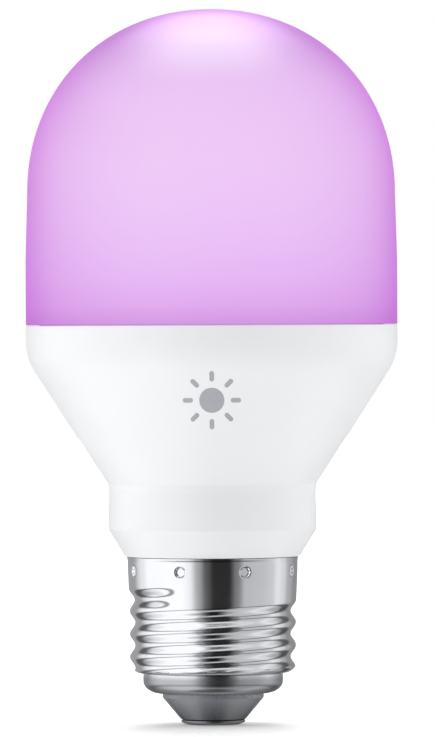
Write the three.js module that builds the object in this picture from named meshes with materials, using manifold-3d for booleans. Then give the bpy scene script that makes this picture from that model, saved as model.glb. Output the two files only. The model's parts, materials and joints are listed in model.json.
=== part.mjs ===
// A smart light bulb with an E26 screw base, as an assembly of separate pieces.
// Millimetres, +Z up along the lamp's axis, origin at the centre of the tip contact's flat bottom.
// The lamp's front, where the mark is printed, faces -Y.
import * as THREE from "three";
import { mergeVertices } from "three/addons/utils/BufferGeometryUtils.js";
import Module from "manifold-3d";

const wasm = await Module();
wasm.setup();

// ---- Driving dimensions ----

// The whole lamp
const BULB_RADIUS = 29.5; // the diffuser's side and the housing's rim
const BULB_HEIGHT = 113.5;
const PARTING_Z = 63.4; // the diffuser meets the housing's rim here
const FIT = 0.3; // clearance between nested pieces
const TOUCH = 0.1; // clearance between faces that rest on each other
const FACETS = 36; // round the large turned pieces

// Diffuser: a straight side with a little draft, then a superellipse cap
const DOME_RADIUS = 29.2;
const DOME_CENTRE_Z = 84.2;
const DOME_POWER = 2.1;
const DIFFUSER_WALL = 1.8;
const STRAIGHT_TOP_Z = 73.7;
const SKIRT_RADIUS = 27.3; // the skirt goes down inside the rim
const SKIRT_WALL = 1.3;
const SKIRT_BOTTOM_Z = 61.7;
const LUG_COUNT = 4;
const LUG_WIDTH = 8;
const LUG_STANDOUT = 0.8;

// Housing: rim, shoulder, cone, neck and chamfer, with a spigot inside the screw shell
const CONE_FOOT = { r: 17.13, z: 39.1 };
const CONE_SLOPE = 0.644; // radius gained per millimetre of height
const SHOULDER_RADIUS = 9;
const NECK_RADIUS = 16.55;
const NECK_WAIST = 16.42;
const NECK_TOP_Z = 38;
const NECK_BOTTOM_Z = 31;
const HOUSING_FOOT = { r: 13.9, z: 26.7 };
const HOUSING_WALL = 2.15; // measured level, across the cone
const RIM_INNER_RADIUS = 27.65;
const LEDGE_Z = 57;
const NECK_INNER_RADIUS = 14.4;
const NECK_FLOOR_Z = 29.9;
const SPIGOT = { inner: 10.2, low: 11.7, high: 12.5, bottomZ: 8.9, stepZ: 21.3 };

// E26 screw shell: thin drawn sheet with a rolled right-hand thread
const SHEET = 0.4;
const THREAD_PITCH = 3.629; // seven turns to the inch
const CREST_RADIUS = 13.2;
const GROOVE_DEPTH = 0.85;
const TOP_GROOVE_Z = 19.83; // the top groove's centre at azimuth 180 degrees
const RUNOUT_END = 245; // azimuth, in degrees, where the top groove has faded out
const RUNOUT_SPAN = 38;
const BAND_GAIN = 0.3; // how much wider the smooth band is than the crests
const SHELL_TOP_Z = 26.6;
const COLLAR = { radius: 11.1, topZ: 8.12, cornerZ: 6.9, lipRadius: 8.35, bottomZ: 4.95 };
const CRIMP_COUNT = 8;
const CRIMP_Z = 24.5;
const CRIMP_RADIUS = 1;

// Tip contact and its insulator
const CONTACT_RADIUS = 5.06;
const CONTACT_THICKNESS = 0.75;
const SHANK = { outer: 1.7, bore: 0.95, topZ: 9, boreZ: 4.5 };
const INSULATOR = { bore: 2, throat: 8.05, flange: 10.35, topZ: 8.3 };

// Heat sink, sleeve and light board, each set in from the housing's cone
const CUP = { bottomZ: 41.3, outerInset: 2.5, innerInset: 3.7, flange: 27.3, hole: 17, topZ: 58.6 };
const FLANGE_THICKNESS = 1.4;
const SLEEVE = { bottomZ: 30.2, outer: 14.1, inner: 13.2, topZ: 52.5, outerInset: 4.05, innerInset: 5 };
const PAD_Z = [58.7, 59.1];
const LED_BOARD = { radius: 26.9, z: [59.2, 60.7] };
const SCREW_CIRCLE = 20.5;
const SCREW_ANGLES = [90, 210, 330];
const OUTER_LEDS = { circle: 19.5, count: 12, first: 15 };
const INNER_LEDS = { circle: 11.6, count: 6, first: 30 };
const LED_SIZE = 2.8;

// Boards that stand on edge in the XZ plane
const DRIVER_HALF = 0.6; // half of the driver board's thickness
const WIFI_BOARD = { half: 0.5, x: 6.5, z: [44.2, 74] };
const NOTCH = { x: 7.4, z: 43.5 };

// ---- Materials ----

const finish = (color, roughness, metalness = 0) =>
  new THREE.MeshStandardMaterial({ color, roughness, metalness });

const lilacDiffuser = finish(0xe3b4f2, 0.35);
const whitePlastic = finish(0xf2f2f4, 0.35);
const nickel = finish(0xc9ccd2, 0.15, 1);
const greyInsulator = finish(0x6f747c, 0.35);
const aluminium = finish(0xb9bcc0, 0.45, 1);
const naturalNylon = finish(0xe6e3d8, 0.5);
const greyPad = finish(0x8f959c, 0.8);
const whiteSilicone = finish(0xeceae6, 0.6);
const whiteMask = finish(0xf4f4f0, 0.4);
const greenMask = finish(0x1f5a3a, 0.4);
const blackMask = finish(0x1b2430, 0.4);
const steel = finish(0x9a9da3, 0.3, 1);
const tinned = finish(0xb4b7ba, 0.3, 1);
const blackPlastic = finish(0x1c1c1e, 0.5);
const capSleeve = finish(0x20262e, 0.35);
const ferrite = finish(0x33343a, 0.7);
const copper = finish(0xb66a3c, 0.35, 1);
const yellowTape = finish(0xd9b53a, 0.45);
const yellowBox = finish(0xd8a93c, 0.5);
const blueEpoxy = finish(0x2c5fa8, 0.35);
const tanCeramic = finish(0xc7b48e, 0.5);
const redInsulation = finish(0xb3302b, 0.45);
const blackInsulation = finish(0x202024, 0.45);
const phosphor = finish(0xe8d67a, 0.5);
const palePhosphor = finish(0xf0ebbf, 0.5);
const redLens = finish(0xd8584c, 0.3);
const greenLens = finish(0x62c078, 0.3);
const blueLens = finish(0x5a78d6, 0.3);

// ---- Shapes ----

const radians = THREE.MathUtils.degToRad;

/** The point at an azimuth in degrees and a distance from the axis. */
const polar = (degrees, r) => [r * Math.cos(radians(degrees)), r * Math.sin(radians(degrees))];

/** A mesh geometry as a solid that can be joined and cut. */
function solid(geometry) {
  const bare = new THREE.BufferGeometry();
  bare.setAttribute("position", geometry.getAttribute("position"));
  bare.setIndex(geometry.index);
  const merged = mergeVertices(bare, 1e-4);
  const index = merged.index.array;
  const kept = [];
  for (let i = 0; i < index.length; i += 3) {
    const [a, b, c] = index.slice(i, i + 3);
    if (a !== b && b !== c && c !== a) kept.push(a, b, c); // a pole's triangles have no area
  }
  return new wasm.Manifold(
    new wasm.Mesh({
      numProp: 3,
      vertProperties: merged.attributes.position.array,
      triVerts: new Uint32Array(kept),
    }),
  );
}

const join = (...shapes) => shapes.map(asSolid).reduce((whole, next) => whole.add(next));
const cut = (from, ...tools) => tools.map(asSolid).reduce((left, tool) => left.subtract(tool), asSolid(from));
const asSolid = (shape) => (shape.isBufferGeometry ? solid(shape) : shape);

/** A solid back as a geometry for a mesh. */
function geometryOf(shape) {
  const { numProp, vertProperties, triVerts } = asSolid(shape).getMesh();
  const geometry = new THREE.BufferGeometry();
  const positions = new Float32Array((vertProperties.length / numProp) * 3);
  for (let i = 0; i < positions.length / 3; i++)
    positions.set(vertProperties.subarray(i * numProp, i * numProp + 3), i * 3);
  geometry.setAttribute("position", new THREE.BufferAttribute(positions, 3));
  geometry.setIndex(new THREE.BufferAttribute(triVerts, 1));
  geometry.computeVertexNormals();
  return geometry;
}

/** An outline of [radius, height] points turned round the Z axis. It runs anticlockwise, with the
 *  material on its left, and either starts and ends on the axis or closes on itself. */
function turned(outline, facets = FACETS) {
  const points = outline.map(([r, z]) => new THREE.Vector2(r, z));
  if (points[0].x > 0) points.push(points[0].clone());
  return new THREE.LatheGeometry(points, facets).rotateX(Math.PI / 2);
}

/** A flat ring or washer between two radii and two heights. */
const ring = (inner, outer, [z0, z1], facets = FACETS) =>
  turned([[inner, z0], [outer, z0], [outer, z1], [inner, z1]], facets);

const block = ([x0, x1], [y0, y1], [z0, z1]) =>
  new THREE.BoxGeometry(x1 - x0, y1 - y0, z1 - z0).translate((x0 + x1) / 2, (y0 + y1) / 2, (z0 + z1) / 2);

/** A round bar between two points. */
function rod(from, to, radius, sides = 8) {
  const a = new THREE.Vector3(...from);
  const b = new THREE.Vector3(...to);
  const turn = new THREE.Quaternion().setFromUnitVectors(
    new THREE.Vector3(0, 1, 0),
    b.clone().sub(a).normalize(),
  );
  const middle = a.clone().add(b).divideScalar(2);
  return new THREE.CylinderGeometry(radius, radius, a.distanceTo(b), sides)
    .applyQuaternion(turn)
    .translate(middle.x, middle.y, middle.z);
}

/** A board standing in the XZ plane, with an outline of [x, z] points. */
function standingBoard(outline, half) {
  const shape = new THREE.Shape(outline.map(([x, z]) => new THREE.Vector2(x, z)));
  return new THREE.ExtrudeGeometry(shape, { depth: 2 * half, bevelEnabled: false })
    .translate(0, 0, -half)
    .rotateX(Math.PI / 2);
}

/** A wire of one thickness along a smooth curve through the points. */
function wire(points, radius, steps) {
  const path = new THREE.CatmullRomCurve3(points.map((p) => new THREE.Vector3(...p)));
  const section = new THREE.Shape();
  section.absarc(0, 0, radius, 0, 2 * Math.PI);
  return new THREE.ExtrudeGeometry(section, { steps, curveSegments: 4, bevelEnabled: false, extrudePath: path });
}

/** A shape turned about the Z axis. */
const spun = (geometry, degrees) => geometry.rotateZ(radians(degrees));

// ---- The assembly ----

const bulb = new THREE.Group();

function add(name, shape, material) {
  const mesh = new THREE.Mesh(geometryOf(shape), material);
  mesh.name = name;
  bulb.add(mesh);
}

// ---- Diffuser ----

/** The diffuser's surface set in by an inset, from the top of its straight side up to its apex. */
function domeOutline(inset, steps) {
  const points = [[BULB_RADIUS - inset, STRAIGHT_TOP_Z]];
  for (let i = 0; i <= steps; i++) {
    const angle = (Math.PI / 2) * (i / steps);
    const across = i === steps ? 0 : Math.cos(angle) ** (2 / DOME_POWER);
    const up = Math.sin(angle) ** (2 / DOME_POWER);
    points.push([
      (DOME_RADIUS - inset) * across,
      DOME_CENTRE_Z + (BULB_HEIGHT - DOME_CENTRE_Z - inset) * up,
    ]);
  }
  return points;
}

/** Short arcs of a ring, evenly spaced: the snap lugs, or the pockets that they click into. */
function lugs(inner, outer, [z0, z1], width) {
  const band = asSolid(ring(inner, outer, [z0, z1]));
  const windows = [];
  for (let i = 0; i < LUG_COUNT; i++) {
    const box = block([0, BULB_RADIUS], [-width / 2, width / 2], [z0 - 1, z1 + 1]);
    windows.push(spun(box, 45 + (360 / LUG_COUNT) * i));
  }
  return band.intersect(join(...windows));
}

function diffuser() {
  const skirtInner = SKIRT_RADIUS - SKIRT_WALL;
  const inner = domeOutline(DIFFUSER_WALL, 7).reverse();
  const outer = domeOutline(0, 11);
  const shell = turned([
    ...inner,
    [BULB_RADIUS - DIFFUSER_WALL, PARTING_Z + 3],
    [skirtInner, PARTING_Z + 1.3],
    [skirtInner, SKIRT_BOTTOM_Z],
    [SKIRT_RADIUS, SKIRT_BOTTOM_Z],
    [SKIRT_RADIUS, PARTING_Z + TOUCH],
    [BULB_RADIUS, PARTING_Z + TOUCH],
    ...outer,
  ]);
  return join(shell, lugs(SKIRT_RADIUS - 0.5, SKIRT_RADIUS + LUG_STANDOUT, [62, 62.9], LUG_WIDTH));
}

// ---- Housing ----

const coneRadius = (z) => CONE_FOOT.r + CONE_SLOPE * (z - CONE_FOOT.z);

/** The shoulder: an arc that is tangent to the rim's upright side and to the cone. */
function shoulder(steps) {
  const lean = Math.atan(CONE_SLOPE);
  const cornerZ = CONE_FOOT.z + (BULB_RADIUS - CONE_FOOT.r) / CONE_SLOPE;
  const centreZ = cornerZ + SHOULDER_RADIUS * Math.tan(lean / 2);
  const points = [];
  for (let i = 0; i <= steps; i++) {
    const angle = -lean * (1 - i / steps);
    points.push([
      BULB_RADIUS - SHOULDER_RADIUS + SHOULDER_RADIUS * Math.cos(angle),
      centreZ + SHOULDER_RADIUS * Math.sin(angle),
    ]);
  }
  return points;
}

function housing() {
  const coneInnerTop = coneRadius(LEDGE_Z) - HOUSING_WALL;
  const coneInnerFootZ = CONE_FOOT.z + (NECK_INNER_RADIUS + HOUSING_WALL - CONE_FOOT.r) / CONE_SLOPE;
  const body = turned([
    [HOUSING_FOOT.r, HOUSING_FOOT.z],
    [NECK_RADIUS, NECK_BOTTOM_Z],
    [NECK_RADIUS, NECK_BOTTOM_Z + 1.6],
    [NECK_WAIST, NECK_TOP_Z - 1.5],
    [coneRadius(NECK_TOP_Z), NECK_TOP_Z],
    ...shoulder(5),
    [BULB_RADIUS, PARTING_Z],
    [RIM_INNER_RADIUS, PARTING_Z],
    [RIM_INNER_RADIUS, LEDGE_Z],
    [coneInnerTop, LEDGE_Z],
    [NECK_INNER_RADIUS, coneInnerFootZ],
    [NECK_INNER_RADIUS, NECK_FLOOR_Z],
    [SPIGOT.inner, NECK_FLOOR_Z],
    [SPIGOT.inner, SPIGOT.bottomZ],
    [SPIGOT.low, SPIGOT.bottomZ],
    [SPIGOT.low, SPIGOT.stepZ],
    [SPIGOT.high, SPIGOT.stepZ + 0.4],
    [SPIGOT.high, HOUSING_FOOT.z],
  ]);
  const lugPockets = lugs(RIM_INNER_RADIUS - 0.2, SKIRT_RADIUS + LUG_STANDOUT + FIT, [61.7, 63.2], LUG_WIDTH + 1);
  const crimpPockets = crimps(11.8, HOUSING_FOOT.r, CRIMP_RADIUS + 0.35);
  // The neutral lead is folded up through this notch into a groove on the spigot's outside.
  const leadNotch = block([SPIGOT.inner - 1, SPIGOT.low + 1], [-0.9, 0.9], [SPIGOT.bottomZ - 1, 10.6]);
  const leadGroove = block([10.7, SPIGOT.low + 1], [-0.9, 0.9], [SPIGOT.bottomZ - 1, 15]);
  return cut(body, lugPockets, crimpPockets, leadNotch, leadGroove);
}

// ---- Screw shell ----

/** The punched marks that lock the shell to the spigot, as short bars that point at the axis. */
function crimps(fromRadius, toRadius, radius) {
  const bars = [];
  for (let i = 0; i < CRIMP_COUNT; i++) {
    const angle = (360 / CRIMP_COUNT) * (i + 0.5);
    bars.push(rod([...polar(angle, fromRadius), CRIMP_Z], [...polar(angle, toRadius), CRIMP_Z], radius, 6));
  }
  return join(...bars);
}

/** The shell's outer radius in the threaded part, at an azimuth in degrees. The groove climbs one
 *  pitch for each turn anticlockwise, which makes the thread right-handed, and fades at its top end. */
function threadRadius(azimuth, z) {
  const turns = (z - TOP_GROOVE_Z) / THREAD_PITCH - (azimuth - 180) / 360;
  const along = azimuth + 360 * Math.round(turns); // the groove's own angle at this point
  const across = turns - Math.round(turns); // from -0.5 to 0.5 of a pitch, 0 in the groove
  const left = THREE.MathUtils.clamp((RUNOUT_END - along) / RUNOUT_SPAN, 0, 1);
  const fade = THREE.MathUtils.smoothstep(left, 0, 1);
  const band = CREST_RADIUS + BAND_GAIN * THREE.MathUtils.smoothstep(z, 17, 26);
  return band - GROOVE_DEPTH * fade * Math.cos(Math.PI * across) ** 2;
}

/** The shell's outer outline at an azimuth, from the rolled-in lip up to the flared top edge. */
function shellOutline(azimuth) {
  const points = [];
  const cornerSteps = 3;
  for (let i = 0; i <= cornerSteps; i++) {
    const angle = -(Math.PI / 2) * (1 - i / cornerSteps);
    points.push([
      COLLAR.lipRadius + (COLLAR.radius - COLLAR.lipRadius) * Math.cos(angle),
      COLLAR.cornerZ + (COLLAR.cornerZ - COLLAR.bottomZ) * Math.sin(angle),
    ]);
  }
  points.push([COLLAR.radius, COLLAR.topZ - 0.05]);
  const shoulderRise = 1.6; // the last turn rounds in to the collar over this height
  const rows = 18;
  const threadTopZ = 22.2;
  for (let i = 0; i <= rows; i++) {
    const z = COLLAR.topZ + 0.15 + (threadTopZ - COLLAR.topZ - 0.15) * (i / rows);
    const below = THREE.MathUtils.clamp(1 - (z - COLLAR.topZ) / shoulderRise, 0, 1);
    const roundedIn = COLLAR.radius + (CREST_RADIUS - COLLAR.radius) * Math.sqrt(1 - below ** 2);
    points.push([Math.min(threadRadius(azimuth, z), below > 0 ? roundedIn : Infinity), z]);
  }
  points.push([CREST_RADIUS + BAND_GAIN, SHELL_TOP_Z - 0.7]);
  points.push([CREST_RADIUS + BAND_GAIN + 0.1, SHELL_TOP_Z]);
  return points;
}

/** An open outline thickened inwards into a closed loop of one sheet thickness. */
function thickened(outline) {
  const inner = outline.map(([r, z], i) => {
    const [r0, z0] = outline[Math.max(i - 1, 0)];
    const [r1, z1] = outline[Math.min(i + 1, outline.length - 1)];
    const length = Math.hypot(r1 - r0, z1 - z0);
    return [r - (SHEET * (z1 - z0)) / length, z + (SHEET * (r1 - r0)) / length];
  });
  inner[inner.length - 1][1] = outline.at(-1)[1]; // the top edge is trimmed level
  return [...outline, ...inner.reverse()];
}

/** A surface through closed loops set at even azimuths, closed round the axis. */
function loopedSurface(loopAt, facets) {
  const positions = [];
  const index = [];
  const loops = [];
  for (let i = 0; i < facets; i++) loops.push(loopAt((360 / facets) * i));
  const size = loops[0].length;
  loops.forEach((loop, i) => {
    for (const [r, z] of loop) positions.push(...polar((360 / facets) * i, r), z);
    const next = (i + 1) % facets;
    for (let j = 0; j < size; j++) {
      const k = (j + 1) % size;
      const [a, b, c, d] = [i * size + j, next * size + j, next * size + k, i * size + k];
      index.push(a, b, c, a, c, d);
    }
  });
  const surface = new THREE.BufferGeometry();
  surface.setAttribute("position", new THREE.BufferAttribute(new Float32Array(positions), 3));
  surface.setIndex(index);
  return surface;
}

function screwShell() {
  const sheet = loopedSurface((azimuth) => thickened(shellOutline(azimuth)), 32);
  const bumps = crimps(12.15, 13.2, CRIMP_RADIUS);
  const dimples = crimps(12.6, 15, 0.62);
  return cut(join(sheet, bumps), dimples);
}

// ---- Tip contact, insulator and leads ----

const contactTurn = turned(
  [
    [0, 0],
    [3.9, 0],
    [4.8, 0.2],
    [CONTACT_RADIUS, 0.5],
    [CONTACT_RADIUS, CONTACT_THICKNESS],
    [SHANK.outer, CONTACT_THICKNESS],
    [SHANK.outer, SHANK.topZ],
    [SHANK.bore, SHANK.topZ],
    [SHANK.bore, SHANK.boreZ],
    [0, SHANK.boreZ],
  ],
  24,
);

const insulatorTurn = turned(
  [
    [INSULATOR.bore, CONTACT_THICKNESS + TOUCH],
    [CONTACT_RADIUS + 0.1, CONTACT_THICKNESS + TOUCH],
    [INSULATOR.throat, 4.3],
    [INSULATOR.throat, 5.65],
    [9.4, 5.65],
    [INSULATOR.flange, COLLAR.cornerZ],
    [INSULATOR.flange, INSULATOR.topZ],
    [INSULATOR.bore, INSULATOR.topZ],
  ],
  24,
);

const liveLead = wire(
  [[-2.5, -1.35, 17], [-2.5, -1.35, 13.4], [-1.3, -1.2, 11.2], [0, -0.3, 10], [0, 0, 8.8], [0, 0, 5.5]],
  0.55,
  10,
);

const neutralLead = wire(
  [[7.2, -1.25, 16], [7.2, -1.3, 13.4], [8.2, -0.9, 10.6], [10.2, -0.1, 9.5], [11.2, 0, 10.3], [11.3, 0, 14]],
  0.4,
  12,
);

// ---- Heat sink, insulating sleeve, thermal pad ----

function heatSinkCup() {
  const undersideZ = CUP.topZ - FLANGE_THICKNESS;
  const cup = turned([
    [coneRadius(CUP.bottomZ) - CUP.innerInset, CUP.bottomZ],
    [coneRadius(CUP.bottomZ) - CUP.outerInset, CUP.bottomZ],
    [coneRadius(56.6) - CUP.outerInset, 56.6],
    [26.1, LEDGE_Z + TOUCH],
    [CUP.flange, LEDGE_Z + TOUCH],
    [CUP.flange, CUP.topZ],
    [CUP.hole, CUP.topZ],
    [CUP.hole, undersideZ],
    [coneRadius(undersideZ) - CUP.innerInset, undersideZ],
  ]);
  const bosses = SCREW_ANGLES.map((a) => rod([...polar(a, SCREW_CIRCLE), 53.6], [...polar(a, SCREW_CIRCLE), 58], 2.6, 12));
  const holes = SCREW_ANGLES.map((a) => rod([...polar(a, SCREW_CIRCLE), 50], [...polar(a, SCREW_CIRCLE), 60], 1.4, 8));
  return cut(join(cup, ...bosses), ...holes);
}

function insulatingSleeve() {
  const coneStartZ = CONE_FOOT.z + (SLEEVE.outer + SLEEVE.outerInset - CONE_FOOT.r) / CONE_SLOPE;
  const sleeve = turned([
    [SLEEVE.inner, SLEEVE.bottomZ],
    [SLEEVE.outer, SLEEVE.bottomZ],
    [SLEEVE.outer, coneStartZ],
    [coneRadius(SLEEVE.topZ) - SLEEVE.outerInset, SLEEVE.topZ],
    [coneRadius(SLEEVE.topZ) - SLEEVE.innerInset, SLEEVE.topZ],
    [SLEEVE.inner, coneStartZ],
  ]);
  const rails = [];
  const slots = [];
  for (const side of [0, 180]) {
    rails.push(spun(block([11.4, 13.6], [-1.9, 1.9], [SLEEVE.bottomZ, 42.5]), side));
    slots.push(spun(block([11, 12.6], [-0.9, 0.9], [SLEEVE.bottomZ - 1, 45]), side));
  }
  return cut(join(sleeve, ...rails), ...slots);
}

const screwHoles = (radius) =>
  SCREW_ANGLES.map((a) => rod([...polar(a, SCREW_CIRCLE), 55], [...polar(a, SCREW_CIRCLE), 63], radius, 8));

const thermalPad = () => cut(ring(CUP.hole + 0.3, LED_BOARD.radius, PAD_Z), ...screwHoles(1.7));

const adhesiveBead = turned(
  Array.from({ length: 6 }, (_, i) => {
    const angle = radians(60 * i);
    return [26.75 + 0.35 * Math.cos(angle), 61.2 + 0.35 * Math.sin(angle)];
  }),
  24,
);

// ---- Light board ----

function ledBoard() {
  const [z0, z1] = LED_BOARD.z;
  const disc = turned([[0, z0], [LED_BOARD.radius, z0], [LED_BOARD.radius, z1], [0, z1]]);
  const wifiSlot = block([-WIFI_BOARD.x - 0.5, WIFI_BOARD.x + 0.5], [-1, 1], [z0 - 1, z1 + 1]);
  const plugSlot = block([9.4, 15.4], [-3.3, -0.5], [z0 - 1, z1 + 1]);
  return cut(disc, wifiSlot, plugSlot, ...screwHoles(1.45));
}

/** A pan head screw with a cross recess. */
function boardScrew(angle) {
  const [x, y] = polar(angle, SCREW_CIRCLE);
  const z = LED_BOARD.z[1] + TOUCH;
  const screw = turned(
    [[0, 54.4], [0.8, 54.4], [1.1, 55], [1.1, z], [2.2, z], [2.2, z + 0.8], [1.5, z + 1.4], [0, z + 1.6]],
    12,
  ).translate(x, y, 0);
  const cross = [
    block([x - 1.2, x + 1.2], [y - 0.25, y + 0.25], [z + 0.7, z + 3]),
    block([x - 0.25, x + 0.25], [y - 1.2, y + 1.2], [z + 0.7, z + 3]),
  ];
  return cut(screw, ...cross);
}

/** A light package: a square body with one cut corner that marks its cathode. */
function ledPackage(angle, circle) {
  const half = LED_SIZE / 2;
  const corner = 0.5;
  const outline = new THREE.Shape([
    new THREE.Vector2(-half, -half),
    new THREE.Vector2(half, -half),
    new THREE.Vector2(half, half - corner),
    new THREE.Vector2(half - corner, half),
    new THREE.Vector2(-half, half),
  ]);
  const body = new THREE.ExtrudeGeometry(outline, { depth: 0.8, bevelEnabled: false });
  return spun(body.translate(circle, 0, LED_BOARD.z[1] + TOUCH), angle);
}

function ledRing({ circle, count, first }, kinds) {
  const made = {};
  for (let i = 0; i < count; i++) {
    const [kind, material] = kinds[i % kinds.length];
    made[kind] = (made[kind] ?? 0) + 1;
    add(`led_${kind}_${made[kind]}`, ledPackage(first + (360 / count) * i, circle), material);
  }
}

/** The socket on top of the light board: an open-topped box over the plug slot. */
function ledConnector() {
  const z = LED_BOARD.z[1] + TOUCH;
  const body = block([9, 15.8], [-3.9, 0.1], [z, z + 3.6]);
  const cavity = block([9.7, 15.1], [-3.1, -0.7], [z - 1, z + 2.6]);
  return cut(body, cavity);
}

// ---- Driver board and what is on it. Its front face looks along -Y. ----

const driverBoardShape = () => {
  const right = [[8.4, 12], [8.4, 30.5], [12.3, 30.5], [12.3, 43.5], [16, 48], [16, 56]];
  const notch = [[NOTCH.x, 56], [NOTCH.x, NOTCH.z]];
  const half = [...right, ...notch];
  const mirrored = half.map(([x, z]) => [-x, z]).reverse();
  return standingBoard([...half, ...mirrored], DRIVER_HALF);
};

const FRONT = -DRIVER_HALF - TOUCH; // where a part on the front face starts
const BACK = DRIVER_HALF + TOUCH;

/** An aluminium can capacitor standing along the board, with two leads that turn in to it. */
function canCapacitor({ x, y, z, radius, height }) {
  const groove = radius - 0.35;
  const can = turned(
    [
      [0, 0], [radius - 0.3, 0], [radius, 0.3], [radius, 1.4], [groove, 1.7], [radius, 2],
      [radius, height - 0.4], [radius - 0.4, height], [0, height],
    ],
    20,
  ).translate(x, y, z);
  const side = Math.sign(y);
  const leads = [-1, 1].map((s) => {
    const leadX = x + s * radius * 0.35;
    const down = rod([leadX, y, z + 0.5], [leadX, y, z - 1.2], 0.3, 6);
    const inwards = rod([leadX, y + side * 0.25, z - 1], [leadX, side * (DRIVER_HALF + TOUCH), z - 1], 0.3, 6);
    return join(down, inwards);
  });
  return join(can, ...leads);
}

/** A disc with rounded faces and two leads, for the varistor and the safety capacitor. */
function discPart({ x, z, radius, thickness, side, height }) {
  const half = thickness / 2;
  const disc = turned(
    [[0, -half], [radius - 0.6, -half], [radius, -half + 0.6], [radius, half - 0.6], [radius - 0.6, half], [0, half]],
    20,
  )
    .rotateX(Math.PI / 2)
    .translate(x, side * height, z);
  const leads = [-1, 1].map((s) => {
    const leadX = x + s * radius * 0.6;
    const down = rod([leadX, side * height, z - radius * 0.5], [leadX, side * height, z - radius - 1], 0.3, 6);
    const bend = [leadX, side * (height + 0.25), z - radius - 0.8];
    const inwards = rod(bend, [leadX, side * (DRIVER_HALF + TOUCH), z - radius - 0.8], 0.3, 6);
    return join(down, inwards);
  });
  return join(disc, ...leads);
}

/** A ferrite E core: a block with two windows beside its centre leg. */
const transformerCore = () =>
  cut(
    block([-5.5, 5.5], [3.3, 8.3], [32, 42]),
    block([-3.9, -1.5], [3, 9], [33.8, 40.2]),
    block([1.5, 3.9], [3, 9], [33.8, 40.2]),
  );

const transformerWinding = () =>
  cut(
    block([-3.6, 3.6], [1, 10.6], [34.1, 39.9]),
    block([-1.8, 1.8], [3, 8.6], [33, 41]),
  );

const CHOKE = { x: -3.9, y: -4.3, z: 18.5 };

const chokeCore = turned(
  [[0, 0], [3, 0], [3, 1.2], [1.4, 1.2], [1.4, 7.3], [3, 7.3], [3, 8.5], [0, 8.5]],
  18,
).translate(CHOKE.x, CHOKE.y, CHOKE.z);

const chokeWinding = ring(1.7, 2.75, [1.5, 7], 18).translate(CHOKE.x, CHOKE.y, CHOKE.z);

/** A wirewound fusible resistor with dumbbell ends and axial leads that turn in to the board. */
function fuseResistor() {
  const [x, y] = [4.6, -3.2];
  const body = turned(
    [[0, 18], [1.1, 18], [1.5, 18.4], [1.5, 19.4], [1.2, 19.8], [1.2, 23.2], [1.5, 23.6], [1.5, 24.6], [1.1, 25], [0, 25]],
    14,
  ).translate(x, y, 0);
  const leads = [[24.8, 27.6], [18.2, 15.4]].map(([from, to]) => {
    const inset = to > from ? -0.3 : 0.3;
    return join(rod([x, y, from], [x, y, to], 0.3, 6), rod([x, y - 0.25, to + inset], [x, FRONT, to + inset], 0.3, 6));
  });
  return join(body, ...leads);
}

/** A chip package with stub legs on its two long sides. */
function legged({ x: [x0, x1], y: [y0, y1], z: [z0, z1] }, legs) {
  const body = block([x0, x1], [y0, y1], [z0, z1]);
  const boardY = Math.abs(y0) < Math.abs(y1) ? y0 : y1;
  const away = Math.sign(boardY) * 0.25;
  const pitch = (z1 - z0) / legs;
  const stubs = [];
  for (let i = 0; i < legs; i++) {
    const z = z0 + pitch * (i + 0.5);
    const rise = [Math.min(boardY, boardY + away), Math.max(boardY, boardY + away)];
    stubs.push(block([x0 - 0.9, x1 + 0.9], rise, [z - 0.2, z + 0.2]));
  }
  return join(body, ...stubs);
}

/** A pin strip: a plastic bar with square pins through it along one axis. */
function pinStrip(bar, pins) {
  return join(block(...bar), ...pins.map((pin) => block(...pin)));
}

const driverHeader = () => {
  const pins = [0, 1, 2, 3].map((i) => {
    const x = 10.3 + 1.4 * i;
    return [[x, x + 0.5], [-2.15, -1.65], [53.4, 62.6]];
  });
  return pinStrip([[9.6, 15.2], [-3.1, FRONT], [54, 56.4]], pins);
};

const wifiHeader = () => {
  const pins = [0, 1, 2, 3, 4].map((i) => {
    const x = 0.7 + 1.3 * i;
    return [[x, x + 0.4], [-1.3, FRONT], [41.6, 46.2]];
  });
  return pinStrip([[0.2, 6.8], [-3.2, -1.2], [42.6, 45.2]], pins);
};

// ---- Radio board ----

const wifiBoardShape = () => {
  const { half, x, z } = WIFI_BOARD;
  return block([-x, x], [-half, half], z);
};

/** The radio's drawn steel can, with chamfered upper edges. */
function shieldCan() {
  const [y0, y1] = [-WIFI_BOARD.half - TOUCH - 2.2, -WIFI_BOARD.half - TOUCH];
  const face = new THREE.Shape([
    new THREE.Vector2(-5.3, 46.6),
    new THREE.Vector2(5.3, 46.6),
    new THREE.Vector2(5.3, 57.6),
    new THREE.Vector2(-5.3, 57.6),
  ]);
  const can = new THREE.ExtrudeGeometry(face, {
    depth: y1 - y0 - 0.4,
    bevelSegments: 1,
    bevelThickness: 0.4,
    bevelSize: 0.4,
    bevelOffset: -0.4,
  }).rotateX(Math.PI / 2);
  return cut(can.translate(0, y1, 0), block([-7, 7], [y1, 5], [40, 60]));
}

/** The printed aerial: a meander line, a little proud of the board's face. */
function aerial() {
  const y = [-WIFI_BOARD.half - TOUCH - 0.15, -WIFI_BOARD.half - TOUCH];
  const line = 0.7;
  const runs = 4;
  const bars = [];
  for (let i = 0; i <= runs; i++) {
    const z = 63.6 + 2.2 * i;
    bars.push(block([-5.4, 5.4], y, [z, z + line]));
    if (i < runs) {
      const x = i % 2 ? -5.4 : 5.4 - line;
      bars.push(block([x, x + line], y, [z, z + 2.2 + line]));
    }
  }
  bars.push(block([-5.4, -5.4 + line], y, [61.4, 64]));
  return join(...bars);
}

// ---- Build, from the tip up ----

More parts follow.
